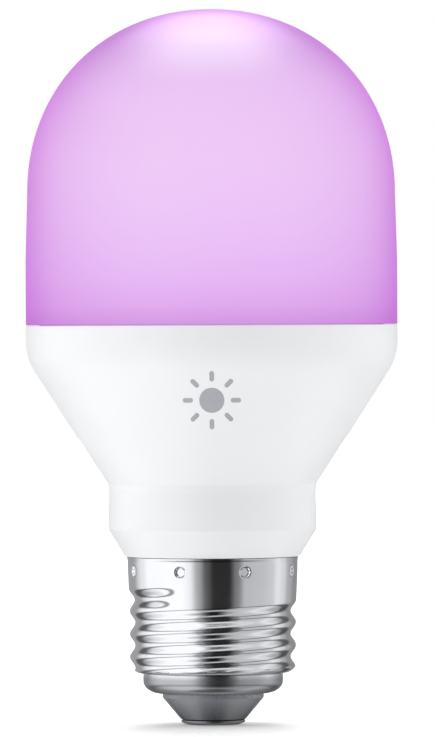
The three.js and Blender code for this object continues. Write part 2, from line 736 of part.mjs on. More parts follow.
add("centre_contact", contactTurn, nickel);
add("base_insulator", insulatorTurn, greyInsulator);
add("screw_shell", screwShell(), nickel);
add("live_lead", liveLead, redInsulation);
add("neutral_lead", neutralLead, blackInsulation);
add("housing", housing(), whitePlastic);
add("heat_sink_cup", heatSinkCup(), aluminium);
add("insulating_sleeve", insulatingSleeve(), naturalNylon);
add("thermal_pad", thermalPad(), greyPad);
add("led_board", ledBoard(), whiteMask);
SCREW_ANGLES.forEach((angle, i) => add(`led_board_screw_${i + 1}`, boardScrew(angle), steel));
ledRing(OUTER_LEDS, [["warm_white", phosphor], ["cool_white", palePhosphor]]);
ledRing(INNER_LEDS, [["red", redLens], ["green", greenLens], ["blue", blueLens]]);
add("led_connector", ledConnector(), whitePlastic);
add("adhesive_bead", adhesiveBead, whiteSilicone);
add("diffuser", diffuser(), lilacDiffuser);

add("driver_board", driverBoardShape(), greenMask);
add("fuse_resistor", fuseResistor(), tanCeramic);
add("heat_shrink", ring(1.8, 2.05, [17.4, 25.6], 14).translate(4.6, -3.2, 0), blackInsulation);
add("choke_core", chokeCore, ferrite);
add("choke_winding", chokeWinding, copper);
add("varistor", discPart({ x: 0, z: 23, radius: 3.5, thickness: 3, side: 1, height: 3.2 }), blueEpoxy);
add("bridge_rectifier", legged({ x: [-2, 2], y: [BACK, 2.6], z: [13.6, 17.2] }, 2), blackPlastic);
add("bulk_capacitor", canCapacitor({ x: -5.2, y: -4.9, z: 31.6, radius: 4, height: 13 }), capSleeve);
add("film_capacitor", block([0.4, 8.6], [-5.4, FRONT], [31.2, 40.2]), yellowBox);
add("safety_capacitor", discPart({ x: 8.6, z: 37, radius: 2.6, thickness: 2, side: 1, height: 3 }), blueEpoxy);
add("transformer_core", transformerCore(), ferrite);
add("transformer_winding", transformerWinding(), yellowTape);
add("output_diode", legged({ x: [-13.6, -9.4], y: [BACK, 2.8], z: [46.4, 49] }, 1), blackPlastic);
add("output_capacitor", canCapacitor({ x: 11.4, y: 4.1, z: 46.8, radius: 3.15, height: 9 }), capSleeve);
add("switching_ic", legged({ x: [-12.8, -9], y: [-2.2, FRONT], z: [47.4, 52.2] }, 4), blackPlastic);
add("colour_driver_ic", legged({ x: [9.8, 13.6], y: [-2, FRONT], z: [47.4, 51.6] }, 5), blackPlastic);
add("driver_pin_header", driverHeader(), blackPlastic);

add("wifi_board", wifiBoardShape(), blackMask);
add("wifi_shield_can", shieldCan(), tinned);
add("wifi_pin_header", wifiHeader(), blackPlastic);
add("wifi_aerial", aerial(), copper);

export default bulb;
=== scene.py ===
# %% [markdown]
# # A smart light bulb
# A smart lamp is a translucent diffuser over a ring of light-emitting diodes, a tapered housing that hides
# the driver and radio boards, and an Edison screw base of thin nickel-plated sheet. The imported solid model
# fixes every size and place. This lesson gives each piece its fine shape and its finish, in the same frame,
# in metres.

# %% Load the frame
import json
import math

import bpy
import numpy as np
from mathutils import Matrix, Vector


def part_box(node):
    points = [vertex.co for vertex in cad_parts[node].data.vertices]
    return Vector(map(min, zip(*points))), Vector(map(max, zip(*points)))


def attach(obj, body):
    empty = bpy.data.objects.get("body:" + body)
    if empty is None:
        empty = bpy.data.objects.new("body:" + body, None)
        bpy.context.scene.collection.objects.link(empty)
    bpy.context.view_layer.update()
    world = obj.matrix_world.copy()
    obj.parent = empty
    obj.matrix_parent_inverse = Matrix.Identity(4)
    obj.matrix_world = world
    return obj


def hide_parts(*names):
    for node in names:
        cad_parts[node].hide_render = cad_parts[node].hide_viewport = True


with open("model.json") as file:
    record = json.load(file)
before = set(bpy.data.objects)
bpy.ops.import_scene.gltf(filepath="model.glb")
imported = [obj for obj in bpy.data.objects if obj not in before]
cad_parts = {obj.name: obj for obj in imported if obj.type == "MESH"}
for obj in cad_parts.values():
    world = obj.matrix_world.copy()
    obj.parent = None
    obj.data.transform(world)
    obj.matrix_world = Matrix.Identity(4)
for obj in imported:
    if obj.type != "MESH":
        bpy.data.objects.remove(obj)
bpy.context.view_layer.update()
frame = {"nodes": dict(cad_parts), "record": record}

MM = 0.001
nodes = frame["nodes"]

# %% [markdown]
# ## Measures from the frame
# Each fine piece stands in for a solid that is already in the frame, so the heights and radii that matter
# are read from those solids' boxes. What a box can't tell, such as the slope of the cone, is written here
# in millimetres, as a drawing of the lamp would give it.

# %% Measures
def reach(node):
    """A node's largest radius, and its lowest and highest point, in millimetres."""
    low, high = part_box(node)
    return max(high.x, high.y) / MM, low.z / MM, high.z / MM


BULB_RADIUS, SKIRT_BOTTOM_Z, BULB_TOP = reach("diffuser")
SPIGOT_BOTTOM_Z, PARTING_Z = reach("housing")[1:]
SHELL_BOTTOM_Z, SHELL_TOP_Z = reach("screw_shell")[1:]
CONTACT_RADIUS, _, SHANK_TOP_Z = reach("centre_contact")
print("radius", round(BULB_RADIUS, 2), "parting", round(PARTING_Z, 2), "top", round(BULB_TOP, 2))

# %% [markdown]
# ## Surfaces on a grid
# Almost every piece of a lamp is turned, drawn or moulded round one axis. Blender could spin a curve or use
# a Screw modifier, but a grid of points worked out with numpy gives exact radii, lets a thread or a dimple
# be part of the same formula, and closes every seam and pole by the way its faces are listed.

# %% A skin over a grid of points
POLE_GAP = 1e-7
SHARP_EDGE = math.radians(40)


def skin(name, grid, loop_rows=False, row_slots=None):
    """Joins a grid of points (rows, columns, 3), in millimetres, into one closed mesh.
    Columns run anticlockwise round an axis and always close on themselves. Rows close too with loop_rows set.
    A first or last row whose points all meet is one vertex, with triangles round it. row_slots gives the
    material slot of the faces above each row."""
    rows, cols = grid.shape[:2]
    index = np.arange(rows * cols).reshape(rows, cols)
    for row in (0, rows - 1):
        if np.ptp(grid[row], axis=0).max() < POLE_GAP:
            index[row] = index[row, 0]
    lower, upper = (index, np.roll(index, -1, 0)) if loop_rows else (index[:-1], index[1:])
    quads = np.stack([lower, np.roll(lower, -1, 1), np.roll(upper, -1, 1), upper], -1).reshape(-1, 4)
    slots = np.zeros(len(lower), int) if row_slots is None else np.asarray(row_slots)
    slots = np.repeat(slots, cols)
    low_pole, high_pole = quads[:, 0] == quads[:, 1], quads[:, 2] == quads[:, 3]
    plain = ~(low_pole | high_pole)
    faces = [quads[plain], quads[low_pole][:, [0, 2, 3]], quads[high_pole][:, :3]]
    slots = np.concatenate([slots[plain], slots[low_pole], slots[high_pole]])
    return mesh_object(name, grid.reshape(-1, 3) * MM, faces, slots)


def mesh_object(name, points, faces, slots=None):
    """An object at the origin with these points, in metres, and these arrays of triangles and quads."""
    corners = np.concatenate([f.ravel() for f in faces])
    sizes = np.concatenate([np.full(len(f), f.shape[1]) for f in faces])
    used, corners = np.unique(corners, return_inverse=True)
    mesh = bpy.data.meshes.new(name)
    mesh.vertices.add(len(used))
    mesh.vertices.foreach_set("co", points[used].astype(np.float32).ravel())
    mesh.loops.add(len(corners))
    mesh.loops.foreach_set("vertex_index", corners.astype(np.int32).ravel())
    mesh.polygons.add(len(sizes))
    mesh.polygons.foreach_set("loop_start", np.concatenate([[0], np.cumsum(sizes)[:-1]]).astype(np.int32))
    if slots is not None:
        mesh.polygons.foreach_set("material_index", slots.astype(np.int32))
    mesh.update(calc_edges=True)
    mesh.validate()
    mesh.shade_smooth()
    mesh.set_sharp_from_angle(angle=SHARP_EDGE)
    piece = bpy.data.objects.new(name, mesh)
    bpy.context.scene.collection.objects.link(piece)
    return piece


# %% [markdown]
# ## Profiles and turning
# A turned piece is drawn as half of its cross-section, a profile of radii and heights, and carried once
# round the axis. A Bevel modifier could break the edges afterwards, but the radii of a moulding differ from
# corner to corner, so each corner of a profile is given its own rounding before it is turned.

# %% Turned shapes
def round_the_axis(radius, height, angles):
    """Points at a radius, height and angle round the Z axis, on a last axis of three."""
    radius, height, angles = np.broadcast_arrays(radius, height, angles)
    return np.stack([radius * np.cos(angles), radius * np.sin(angles), height], -1)


def even_angles(count):
    return np.linspace(0, 2 * np.pi, count, endpoint=False)


def turned_grid(profile, count=192, centre=(0, 0, 0)):
    """A profile of (radius, height) points carried once round an upright axis through the centre. The profile
    runs anticlockwise, and either starts and ends on the axis or closes on itself."""
    profile = np.asarray(profile, float)
    return round_the_axis(profile[:, :1], profile[:, 1:], even_angles(count)) + np.asarray(centre, float)


def turned(name, profile, count=192, centre=(0, 0, 0)):
    """The skin of a turned grid. The profile closes on itself unless it starts on the axis."""
    starts_on_axis = profile[0][0] < POLE_GAP
    return skin(name, turned_grid(profile, count, centre), loop_rows=not starts_on_axis)


def rounded(corners, steps=6):
    """A profile with rounded corners. Each corner is (radius, height, rounding): the two tangent points lie
    rounding times tan(half the turn) from the corner, and an arc of that radius joins them."""
    corners = np.asarray(corners, float)
    points = []
    for i, (r, z, rounding) in enumerate(corners):
        here = np.array([r, z])
        if rounding == 0:
            points.append(here[None])
            continue
        back = corners[i - 1, :2] - here
        ahead = corners[(i + 1) % len(corners), :2] - here
        back, ahead = back / np.linalg.norm(back), ahead / np.linalg.norm(ahead)
        half = math.acos(np.clip(back @ ahead, -1, 1)) / 2
        bisector = (back + ahead) / np.linalg.norm(back + ahead)
        centre = here + bisector * rounding / math.sin(half)
        start = here + back * rounding / math.tan(half) - centre
        end = here + ahead * rounding / math.tan(half) - centre
        turn = math.atan2(start[0] * end[1] - start[1] * end[0], start @ end)
        angle = turn * np.linspace(0, 1, steps + 1)[:, None]
        points.append(centre + start * np.cos(angle) + np.array([-start[1], start[0]]) * np.sin(angle))
    return np.concatenate(points)


# %% [markdown]
# ## Handing a piece over
# A finished piece has to say what it is: which body carries it, which of the lamp's finishes it takes, and
# which solids it stands for, so that those are hidden. One helper says this for every piece and prints its
# size.

# %% Give a piece its body, slot and nodes
def place(piece, slot, *stands_for, materials=()):
    """The piece rides on the lamp's one body, takes the materials given and stands for CAD nodes.
    The slot is not used.
    """
    for material in materials:
        piece.data.materials.append(material)
    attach(piece, "root")
    if stands_for:
        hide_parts(*stands_for)
    triangles = sum(len(p.vertices) - 2 for p in piece.data.polygons)
    print(f"{piece.name}: {triangles} triangles")
    return piece


# %% [markdown]
# ## Finishes from nodes
# A flat colour looks like a toy. Real plastics and metals vary a little in colour and roughness, and have a
# fine grain. Each finish is a Principled shader whose colour, roughness and normal come from noise in
# Object coordinates, which here are true metres, so a grain of half a millimetre is half a millimetre on
# every piece.

# %% Node helpers
def new_material(name, metallic=0.0, **sockets):
    """A material with one Principled shader. Values that are the same all over go on its own sockets."""
    material = bpy.data.materials.new(name)
    material.use_nodes = True
    shader = material.node_tree.nodes["Principled BSDF"]
    shader.inputs["Metallic"].default_value = metallic
    for socket, value in sockets.items():
        shader.inputs[socket.replace("_", " ")].default_value = value
    return material, material.node_tree, shader


def node(tree, kind, inputs=(), **settings):
    """A node with its settings and inputs. An input is a value, or a socket to link from."""
    made = tree.nodes.new(kind)
    for key, value in settings.items():
        setattr(made, key, value)
    for key, value in dict(inputs).items():
        if isinstance(value, bpy.types.NodeSocket):
            tree.links.new(value, made.inputs[key])
        else:
            made.inputs[key].default_value = value
    return made


def object_place(tree):
    return node(tree, "ShaderNodeTexCoord").outputs["Object"]


def noise(tree, size_mm, detail=3.0, place_from=None):
    """Noise whose blotches are about this many millimetres across."""
    inputs = {"Vector": place_from or object_place(tree), "Scale": 1 / (size_mm * MM), "Detail": detail}
    return node(tree, "ShaderNodeTexNoise", inputs).outputs["Fac"]


def blend_colours(tree, factor, first, second):
    """A colour between two others. A Mix node's colours are its inputs 6 and 7, and its output 2."""
    return node(tree, "ShaderNodeMix", {0: factor, 6: first, 7: second}, data_type="RGBA").outputs[2]


def colour_ramp(tree, factor, stops, interpolation):
    """A colour read off a ramp. Each stop is a position from 0 to 1 and a colour."""
    made = node(tree, "ShaderNodeValToRGB", {"Fac": factor})
    ramp = made.color_ramp
    ramp.interpolation = interpolation
    while len(ramp.elements) < len(stops):
        ramp.elements.new(1.0)
    for element, (position, colour) in zip(ramp.elements, stops):
        element.position, element.color = position, (*colour, 1.0)
    return made.outputs["Color"]


def remap(tree, value, low, high, new_low, new_high, smooth=False):
    """A value carried from one range to another, and held at its ends."""
    inputs = {"Value": value, "From Min": low, "From Max": high, "To Min": new_low, "To Max": new_high}
    kind = "SMOOTHSTEP" if smooth else "LINEAR"
    return node(tree, "ShaderNodeMapRange", inputs, interpolation_type=kind).outputs["Result"]


def height_up(tree):
    """A point's height above the foot of the lamp, in metres."""
    return node(tree, "ShaderNodeSeparateXYZ", {"Vector": object_place(tree)}).outputs["Z"]


def emboss(tree, pattern, depth_mm):
    """The shader's normal, tilted as if the pattern stood this deep in the surface."""
    inputs = {"Height": pattern, "Distance": depth_mm * MM, "Strength": 1.0}
    normal = node(tree, "ShaderNodeBump", inputs).outputs["Normal"]
    tree.links.new(normal, tree.nodes["Principled BSDF"].inputs["Normal"])


def rgb(red, green, blue):
    """A colour from its 0 to 255 screen values, as the linear light that shaders use."""
    screen = np.array([red, green, blue]) / 255
    linear = np.where(screen <= 0.04045, screen / 12.92, ((screen + 0.055) / 1.055) ** 2.4)
    return (*linear.tolist(), 1.0)


def grained(
    name, light, dark, roughness, metallic=0.0, blotch_mm=4.0, grain_mm=0.3, depth_mm=0.01, **sockets
):
    """A finish whose colour drifts between two screen tones over blotches, whose roughness drifts between two
    values, and whose surface has a fine grain of a given depth."""
    material, tree, shader = new_material(name, metallic, **sockets)
    blotches = noise(tree, blotch_mm)
    tree.links.new(blend_colours(tree, blotches, rgb(*dark), rgb(*light)), shader.inputs["Base Color"])
    rough = remap(tree, blotches, 0.3, 0.7, *roughness)
    tree.links.new(rough, shader.inputs["Roughness"])
    emboss(tree, noise(tree, grain_mm, 2.0), depth_mm)
    return material


# %% [markdown]
# ## The diffuser
# The diffuser is a polycarbonate cap with light-scattering filler: a straight side with a little draft,
# then a dome. It could be a spun curve, but the dome is a superellipse, a circle whose exponent is a little
# over two, so it is worked out as one. Its wall, its skirt inside the rim and its four snap lugs are part
# of the mesh, as in the moulding. The lugs are a bump in the skirt's radius over four short arcs, which
# keeps the wall closed.

# %% Diffuser shape
DOME_CENTRE_Z, DOME_POWER = 84.2, 2.1
DRAFT, DRAFT_START_Z = 0.3, 73.7
WALL = 1.8
SKIRT_INSIDE, SKIRT_OUTSIDE = 26.0, 27.3
RIM_GAP = 0.06
LUG_COUNT, LUG_WIDTH, LUG_STANDOUT, LUG_EASE = 4, 8.0, 0.8, 0.7
LUG_BOTTOM_Z, LUG_TOP_Z = 62.0, 62.9
PAIR_GAP = ON_WALL = 0.02


def dome(inset, steps=72):
    """A superellipse up to the apex: its radius is R cos^(2/p) and its height is H sin^(2/p)."""
    angle = np.linspace(0, np.pi / 2, steps + 1)
    across = np.cos(angle) ** (2 / DOME_POWER)
    across[-1] = 0
    radius = (BULB_RADIUS - DRAFT - inset) * across
    height = DOME_CENTRE_Z + (BULB_TOP - DOME_CENTRE_Z - inset) * np.sin(angle) ** (2 / DOME_POWER)
    return np.stack([radius, height], -1)


def side(inset, low, steps=10):
    """The upright side. Between it and the dome's foot, the wall leans in by the draft."""
    height = np.linspace(low, DRAFT_START_Z, steps)
    return np.stack([np.full(steps, BULB_RADIUS - inset), height], -1)


def close_pair(radius, height):
    """Two corners of an upright wall, just below and above a height where a lug, pocket or groove ends."""
    return [(radius, height - PAIR_GAP, 0), (radius, height + PAIR_GAP, 0)]


def with_lugs(grid, wall_radius, bottom, top, width, standout):
    """A grid whose points on an upright wall, between two heights, are moved out along evenly spaced arcs.
    The move eases from full to nothing at the ends of each arc, whose width is where it is half done."""
    x, y, z = np.moveaxis(grid, -1, 0)
    radius, degrees = np.hypot(x, y), np.degrees(np.arctan2(y, x))
    spacing = 360 / LUG_COUNT
    off_centre = np.radians(np.abs(degrees % spacing - spacing / 2)) * wall_radius
    on_wall = (np.abs(radius - wall_radius) < ON_WALL) & (z > bottom) & (z < top)
    out = standout * on_wall * np.clip((width / 2 - off_centre) / LUG_EASE + 0.5, 0, 1)
    stretch = (radius + out) / np.maximum(radius, 1e-9)
    return np.stack([x * stretch, y * stretch, z], -1)


foot = rounded(
    [
        (SKIRT_INSIDE, PARTING_Z + 1.3, 0), (SKIRT_INSIDE, SKIRT_BOTTOM_Z, 0.25),
        (SKIRT_OUTSIDE, SKIRT_BOTTOM_Z, 0.25), *close_pair(SKIRT_OUTSIDE, LUG_BOTTOM_Z),
        *close_pair(SKIRT_OUTSIDE, LUG_TOP_Z), (SKIRT_OUTSIDE, PARTING_Z + RIM_GAP, 0),
        (BULB_RADIUS, PARTING_Z + RIM_GAP, 0.22), (BULB_RADIUS, PARTING_Z + 1, 0),
    ]
)
outline = [dome(WALL)[::-1], side(WALL, PARTING_Z + 3)[::-1], foot, side(0, PARTING_Z + 2), dome(0)]
cap_grid = turned_grid(np.concatenate(outline), 256)
cap_grid = with_lugs(cap_grid, SKIRT_OUTSIDE, LUG_BOTTOM_Z, LUG_TOP_Z, LUG_WIDTH, LUG_STANDOUT)
diffuser = skin("diffuser_cap", cap_grid)

# %% [markdown]
# ## The lit diffuser's finish
# Light leaves a milky wall most strongly straight out, and less at a slant, so the lit cap is paler where
# it faces the eye and deeper in colour at its rim. A darker rim could be painted on, but it would hold for
# one point of view only. Here the shader makes it from any side: light that leaves at a slant goes farther
# through a clear coat with a violet tint, and the frosted skin adds a violet sheen there. The glow is an
# emission that fades towards the joint, where the skirt and the rim shade the wall, and by up to half
# towards the apex, where the dimming is painted shade that keeps the highlight over the crown below white.

# %% Lit diffuser
# The stops from 0.82 up dim the glow at the apex: painted shade under the highlight on the crown.
GLOW = [
    (0.0, (0.69, 0.36, 0.78)), (0.025, (0.73, 0.4, 0.83)), (0.06, (0.81, 0.49, 0.91)),
    (0.15, (0.87, 0.61, 0.97)), (0.3, (0.92, 0.71, 1.0)), (0.48, (0.95, 0.77, 1.0)), (0.7, (0.95, 0.77, 1.0)),
    (0.82, (0.88, 0.745, 0.94)), (0.92, (0.7, 0.65, 0.77)), (1.0, (0.47, 0.55, 0.55)),
]


def lit_diffuser():
    """The glow is a ramp up the cap, from the joint at 0 to the apex at 1. The rest is set on the shader."""
    material, tree, shader = new_material(
        "lit_frosted_polycarbonate", Roughness=0.34, IOR=1.5, Emission_Strength=1.05,
        Specular_Tint=(0.3, 1.0, 0.25, 1.0),
        Sheen_Weight=1.0, Sheen_Roughness=0.5, Sheen_Tint=(0.4, 0.08, 0.5, 1.0),
        Coat_Weight=1.0, Coat_Roughness=0.34, Coat_IOR=1.06, Coat_Tint=(0.79, 0.665, 0.81, 1.0),
    )
    above = remap(tree, height_up(tree), PARTING_Z * MM, BULB_TOP * MM, 0.0, 1.0)
    glow = colour_ramp(tree, above, GLOW, "B_SPLINE")
    tree.links.new(glow, shader.inputs["Emission Color"])
    cloud = blend_colours(tree, noise(tree, 9.0), rgb(88, 76, 92), rgb(94, 82, 98))
    tree.links.new(cloud, shader.inputs["Base Color"])
    emboss(tree, noise(tree, 0.12, 2.0), 0.002)
    return material


place(diffuser, "diffuser", "diffuser", materials=[lit_diffuser()])

# %% [markdown]
# ## The housing
# The housing is one white moulding: a rim with an upright side, a rounded shoulder, a cone, a short neck
# band and a chamfer above the screw shell. Every edge of a moulding is broken by a small radius, which is
# what catches the light, so the profile is rounded at each corner before it is turned. Inside the rim are
# four pockets for the lugs, and the spigot's foot has a notch where the neutral lead is folded up against
# the shell.

# %% Housing shape
CONE_FOOT_RADIUS, CONE_FOOT_Z, CONE_SLOPE = 17.13, 39.1, 0.644
SHOULDER_ROUNDING = 9.0
RIM_BORE, RIM_FLOOR_Z, CONE_WALL = 27.65, 57.0, 2.15
NECK_BORE, NECK_FLOOR_Z = 14.4, 29.9
SEAT_RADIUS, SEAT_Z = 12.5, 26.7
SPIGOT_INSIDE, SPIGOT_OUTSIDE = 10.2, 11.7
POCKET_BOTTOM_Z, POCKET_TOP_Z, POCKET_WIDTH, POCKET_DEPTH = 61.7, 63.2, 9.0, 0.75
NOTCH_HALF_WIDTH, NOTCH_TOP_Z = 0.9, 10.6
LEAD_GROOVE_RADIUS, LEAD_GROOVE_TOP_Z = 10.7, 15.0


def cone_radius(height):
    return CONE_FOOT_RADIUS + CONE_SLOPE * (height - CONE_FOOT_Z)


cone_corner_z = CONE_FOOT_Z + (BULB_RADIUS - CONE_FOOT_RADIUS) / CONE_SLOPE
housing_profile = rounded(
    [
        (SEAT_RADIUS, SEAT_Z, 0), (13.9, SEAT_Z, 0.2), (16.56, 31.05, 0.45), (16.42, 37.0, 0.8),
        (16.6, 38.28, 0.8), (BULB_RADIUS, cone_corner_z, SHOULDER_ROUNDING), (BULB_RADIUS, PARTING_Z, 0.2),
        (RIM_BORE, PARTING_Z, 0.15), *close_pair(RIM_BORE, POCKET_TOP_Z)[::-1],
        *close_pair(RIM_BORE, POCKET_BOTTOM_Z)[::-1], (RIM_BORE, RIM_FLOOR_Z, 0.3),
        (cone_radius(RIM_FLOOR_Z) - CONE_WALL, RIM_FLOOR_Z, 0.3), (NECK_BORE, 38.19, 1.0),
        (NECK_BORE, NECK_FLOOR_Z, 0.5), (SPIGOT_INSIDE, NECK_FLOOR_Z, 0.5),
        (SPIGOT_INSIDE, SPIGOT_BOTTOM_Z, 0.2), (SPIGOT_OUTSIDE, SPIGOT_BOTTOM_Z, 0.3),
        *close_pair(SPIGOT_OUTSIDE, LEAD_GROOVE_TOP_Z), (SPIGOT_OUTSIDE, 21.3, 0.1), (SEAT_RADIUS, 21.7, 0.1),
    ],
    steps=12,
)


def with_lead_notch(grid):
    """A grid whose spigot foot is pressed up to the notch's top across a narrow strip on the +X side, and
    whose outer wall there is pressed in to the groove's radius. A fiftieth of each point's own offset is
    kept, so that no two points meet."""
    x, y, z = np.moveaxis(grid, -1, 0).copy()
    strip = (np.abs(y) < NOTCH_HALF_WIDTH) & (x > 0) & (z < LEAD_GROOVE_TOP_Z)
    outer = strip & (x > (SPIGOT_INSIDE + SPIGOT_OUTSIDE) / 2)
    x = np.where(outer, LEAD_GROOVE_RADIUS + (x - SPIGOT_OUTSIDE) / 50, x)
    z = np.where(strip & (z < NOTCH_TOP_Z), NOTCH_TOP_Z + (z - NOTCH_TOP_Z) / 50, z)
    return np.stack([x, y, z], -1)


housing_grid = turned_grid(housing_profile, 256)
housing_grid = with_lugs(housing_grid, RIM_BORE, POCKET_BOTTOM_Z, POCKET_TOP_Z, POCKET_WIDTH, POCKET_DEPTH)
housing = skin("housing_moulding", with_lead_notch(housing_grid), loop_rows=True)

# %% [markdown]
# ## White moulding
# The housing is white polycarbonate with a satin surface. A plain white would be close, but a faint drift
# of tone over blotches of a centimetre or so, and a very fine grain, keep the cone from looking flat.

# %% White moulding finish
white_moulding = grained(
    "white_moulded_polycarbonate", (234, 235, 236), (230, 231, 233), (0.3, 0.36),
    blotch_mm=14.0, grain_mm=0.25, depth_mm=0.0015, IOR=1.52,
)
place(housing, "housing", "housing", materials=[white_moulding])

# %% [markdown]
# ## The screw shell
# The shell is thin nickel-plated sheet, drawn into a cup and rolled with a right-hand thread, seven turns
# to the inch. A screw made with an array of rings would have no lead, and a carved one would be hard to
# fade out at its end, so the radius is a formula of angle and height: a smooth band, less a groove whose
# height climbs one pitch in each turn. The same grid carries eight punched dimples that lock the shell to
# the plastic.

# %% Thread and dimples
PITCH = 3.629
CREST = 13.2
GROOVE_DEPTH = 0.85
TOP_GROOVE_Z, TOP_GROOVE_ANGLE = 19.83, 180.0
RUNOUT_END, RUNOUT_SPAN = 250.0, 26.0
BAND_GAIN, BAND_START_Z, BAND_END_Z = 0.3, 17.0, 26.0
CRIMP_COUNT, CRIMP_Z, CRIMP_DEPTH = 8, 24.5, 0.34
CRIMP_RADIUS, CRIMP_FLOOR_RADIUS = 1.0, 0.6


def smooth_step(value, low, high):
    t = np.clip((value - low) / (high - low), 0, 1)
    return t * t * (3 - 2 * t)


def thread_radius(degrees, height):
    """The crest radius, growing a little into the band, less a rounded groove. The groove's centre climbs
    one pitch a turn. At each point the nearest turn of it is found, and its depth fades at the thread's
    end."""
    turns = (height - TOP_GROOVE_Z) / PITCH - (degrees - TOP_GROOVE_ANGLE) / 360
    along = degrees + 360 * np.round(turns)
    across = turns - np.round(turns)
    fade = smooth_step((RUNOUT_END - along) / RUNOUT_SPAN, 0, 1)
    band = CREST + BAND_GAIN * smooth_step(height, BAND_START_Z, BAND_END_Z)
    return band - GROOVE_DEPTH * fade * np.cos(np.pi * across) ** 2


def crimp_dent(degrees, height):
    """How far the sheet is punched in: full over the dimple's floor, then a sloped wall out to its rim."""
    spacing = 360 / CRIMP_COUNT
    off_centre = np.radians((degrees % spacing) - spacing / 2) * (CREST + BAND_GAIN)
    distance = np.hypot(off_centre, height - CRIMP_Z)
    return CRIMP_DEPTH * (1 - smooth_step(distance, CRIMP_FLOOR_RADIUS, CRIMP_RADIUS))


# %% [markdown]
# ## The shell's sheet
# The sheet has the same thickness all over, as drawn metal does. A Solidify modifier would do for a plain
# cup. Here the inner face is the outer one moved in square to its slope, so that the thread stays clean,
# and both are one grid, joined at the rim and at the foot. Rows and columns stand close together where the
# sheet bends.

# %% Screw shell shape
SHEET = 0.4
COLLAR_RADIUS, COLLAR_TOP_Z, COLLAR_CORNER_Z, COLLAR_EASE = 11.1, 8.12, 6.9, 1.6
LIP_RADIUS = 8.35
RIM_FLARE, RIM_FLARE_SPAN = 0.1, 0.7


def crimp_angles():
    """Angles round the shell, in degrees: close together across each dimple and wider between them."""
    spacing = 360 / CRIMP_COUNT
    across = np.degrees(1.2 * CRIMP_RADIUS / CREST)
    near = np.linspace(-across, across, 24, endpoint=False)
    between = np.linspace(across, spacing - across, 26, endpoint=False)
    return np.add.outer(spacing * (np.arange(CRIMP_COUNT) + 0.5), np.concatenate([near, between])).ravel()


def shell_skin():
    """From the lip, a quarter ellipse rises to the collar, and a second one, over the collar's ease, limits
    the thread's crest above it. The rim flares a little."""
    degrees = crimp_angles()[None]
    corner = np.linspace(-np.pi / 2, 0, 14)[:, None]
    corner_r = LIP_RADIUS + (COLLAR_RADIUS - LIP_RADIUS) * np.cos(corner)
    corner_z = COLLAR_CORNER_Z + (COLLAR_CORNER_Z - SHELL_BOTTOM_Z) * np.sin(corner)
    collar_z = np.linspace(COLLAR_CORNER_Z + 0.3, COLLAR_TOP_Z - 0.05, 4)[:, None]
    height = np.concatenate([
        np.linspace(COLLAR_TOP_Z + 0.02, 9.0, 8), np.linspace(9.12, 22.9, 92), np.linspace(23.1, 25.9, 30),
        [26.05, 26.2, 26.35, 26.5, SHELL_TOP_Z],
    ])[:, None]
    below = np.clip(1 - (height - COLLAR_TOP_Z) / COLLAR_EASE, 0, 1)
    envelope = np.where(below > 0, COLLAR_RADIUS + (CREST - COLLAR_RADIUS) * np.sqrt(1 - below**2), np.inf)
    flare = RIM_FLARE * smooth_step(height, SHELL_TOP_Z - RIM_FLARE_SPAN, SHELL_TOP_Z)
    outer = np.minimum(thread_radius(degrees, height), envelope) + flare - crimp_dent(degrees, height)
    wide = np.ones_like(degrees)
    r = np.concatenate([corner_r * wide, COLLAR_RADIUS * np.ones_like(collar_z) * wide, outer])
    z = np.concatenate([corner_z, collar_z, height]) * wide
    rise, run = np.gradient(z, axis=0), np.gradient(r, axis=0)
    length = np.hypot(rise, run)
    inner_r, inner_z = r - SHEET * rise / length, z + SHEET * run / length
    inner_z[-1] = z[-1]
    grid_r = np.concatenate([r, inner_r[::-2]])
    grid_z = np.concatenate([z, inner_z[::-2]])
    return skin("screw_shell_sheet", round_the_axis(grid_r, grid_z, np.radians(degrees)), loop_rows=True)


screw_shell = shell_skin()

# %% [markdown]
# ## Nickel plate
# Bright nickel is a mirror with faint draw lines round it, from the tool that formed the cup, and a slight
# haze where it has been handled. The rolled foot of the cup is darker in tone and duller. The draw lines
# are noise stretched round the axis: it is read at a point's height and an eighth of its place across, so
# it changes quickly up the shell and slowly round it.

# %% Nickel finish
DRAW_STRETCH = 0.12
DARKER_FOOT_TONE, DARKER_FOOT_FADE, DARKER_FOOT_HAZE = (176, 178, 182), 1.2, 0.17


def nickel(name, light, dark, roughness, darker_below=None):
    """Metal that drifts between two screen tones. Below a height, it is darker in tone and hazier."""
    material, tree, shader = new_material(name, metallic=1.0)
    inputs = {"Vector": object_place(tree), "Scale": (DRAW_STRETCH, DRAW_STRETCH, 1.0)}
    stretched = node(tree, "ShaderNodeMapping", inputs, vector_type="POINT").outputs["Vector"]
    draw_lines = noise(tree, 0.14, 3.0, stretched)
    haze = noise(tree, 5.0, 4.0)
    colour = blend_colours(tree, haze, rgb(*dark), rgb(*light))
    rough = remap(tree, haze, 0.35, 0.7, *roughness)
    # Below that height, a darker tone and a hazier surface.
    if darker_below:
        low, high = (darker_below - DARKER_FOOT_FADE) * MM, darker_below * MM
        darker_foot = remap(tree, height_up(tree), low, high, 1.0, 0.0, smooth=True)
        colour = blend_colours(tree, darker_foot, colour, rgb(*DARKER_FOOT_TONE))
        inputs = {0: darker_foot, 1: DARKER_FOOT_HAZE, 2: rough}
        rough = node(tree, "ShaderNodeMath", inputs, operation="MULTIPLY_ADD").outputs[0]
    tree.links.new(colour, shader.inputs["Base Color"])
    tree.links.new(rough, shader.inputs["Roughness"])
    emboss(tree, draw_lines, 0.0016)
    return material


bright_nickel = nickel("bright_nickel_plate", (236, 237, 240), (224, 225, 230), (0.07, 0.15), darker_below=8.4)
place(screw_shell, "shell_nickel", "screw_shell", materials=[bright_nickel])

# %% [markdown]
# ## Insulator and tip contact
# Below the shell, a dark insulator tapers to the tip contact. Both are small turned parts with rounded
# edges. The contact's shank runs up inside the insulator as a tube, and the live lead is soldered in it.

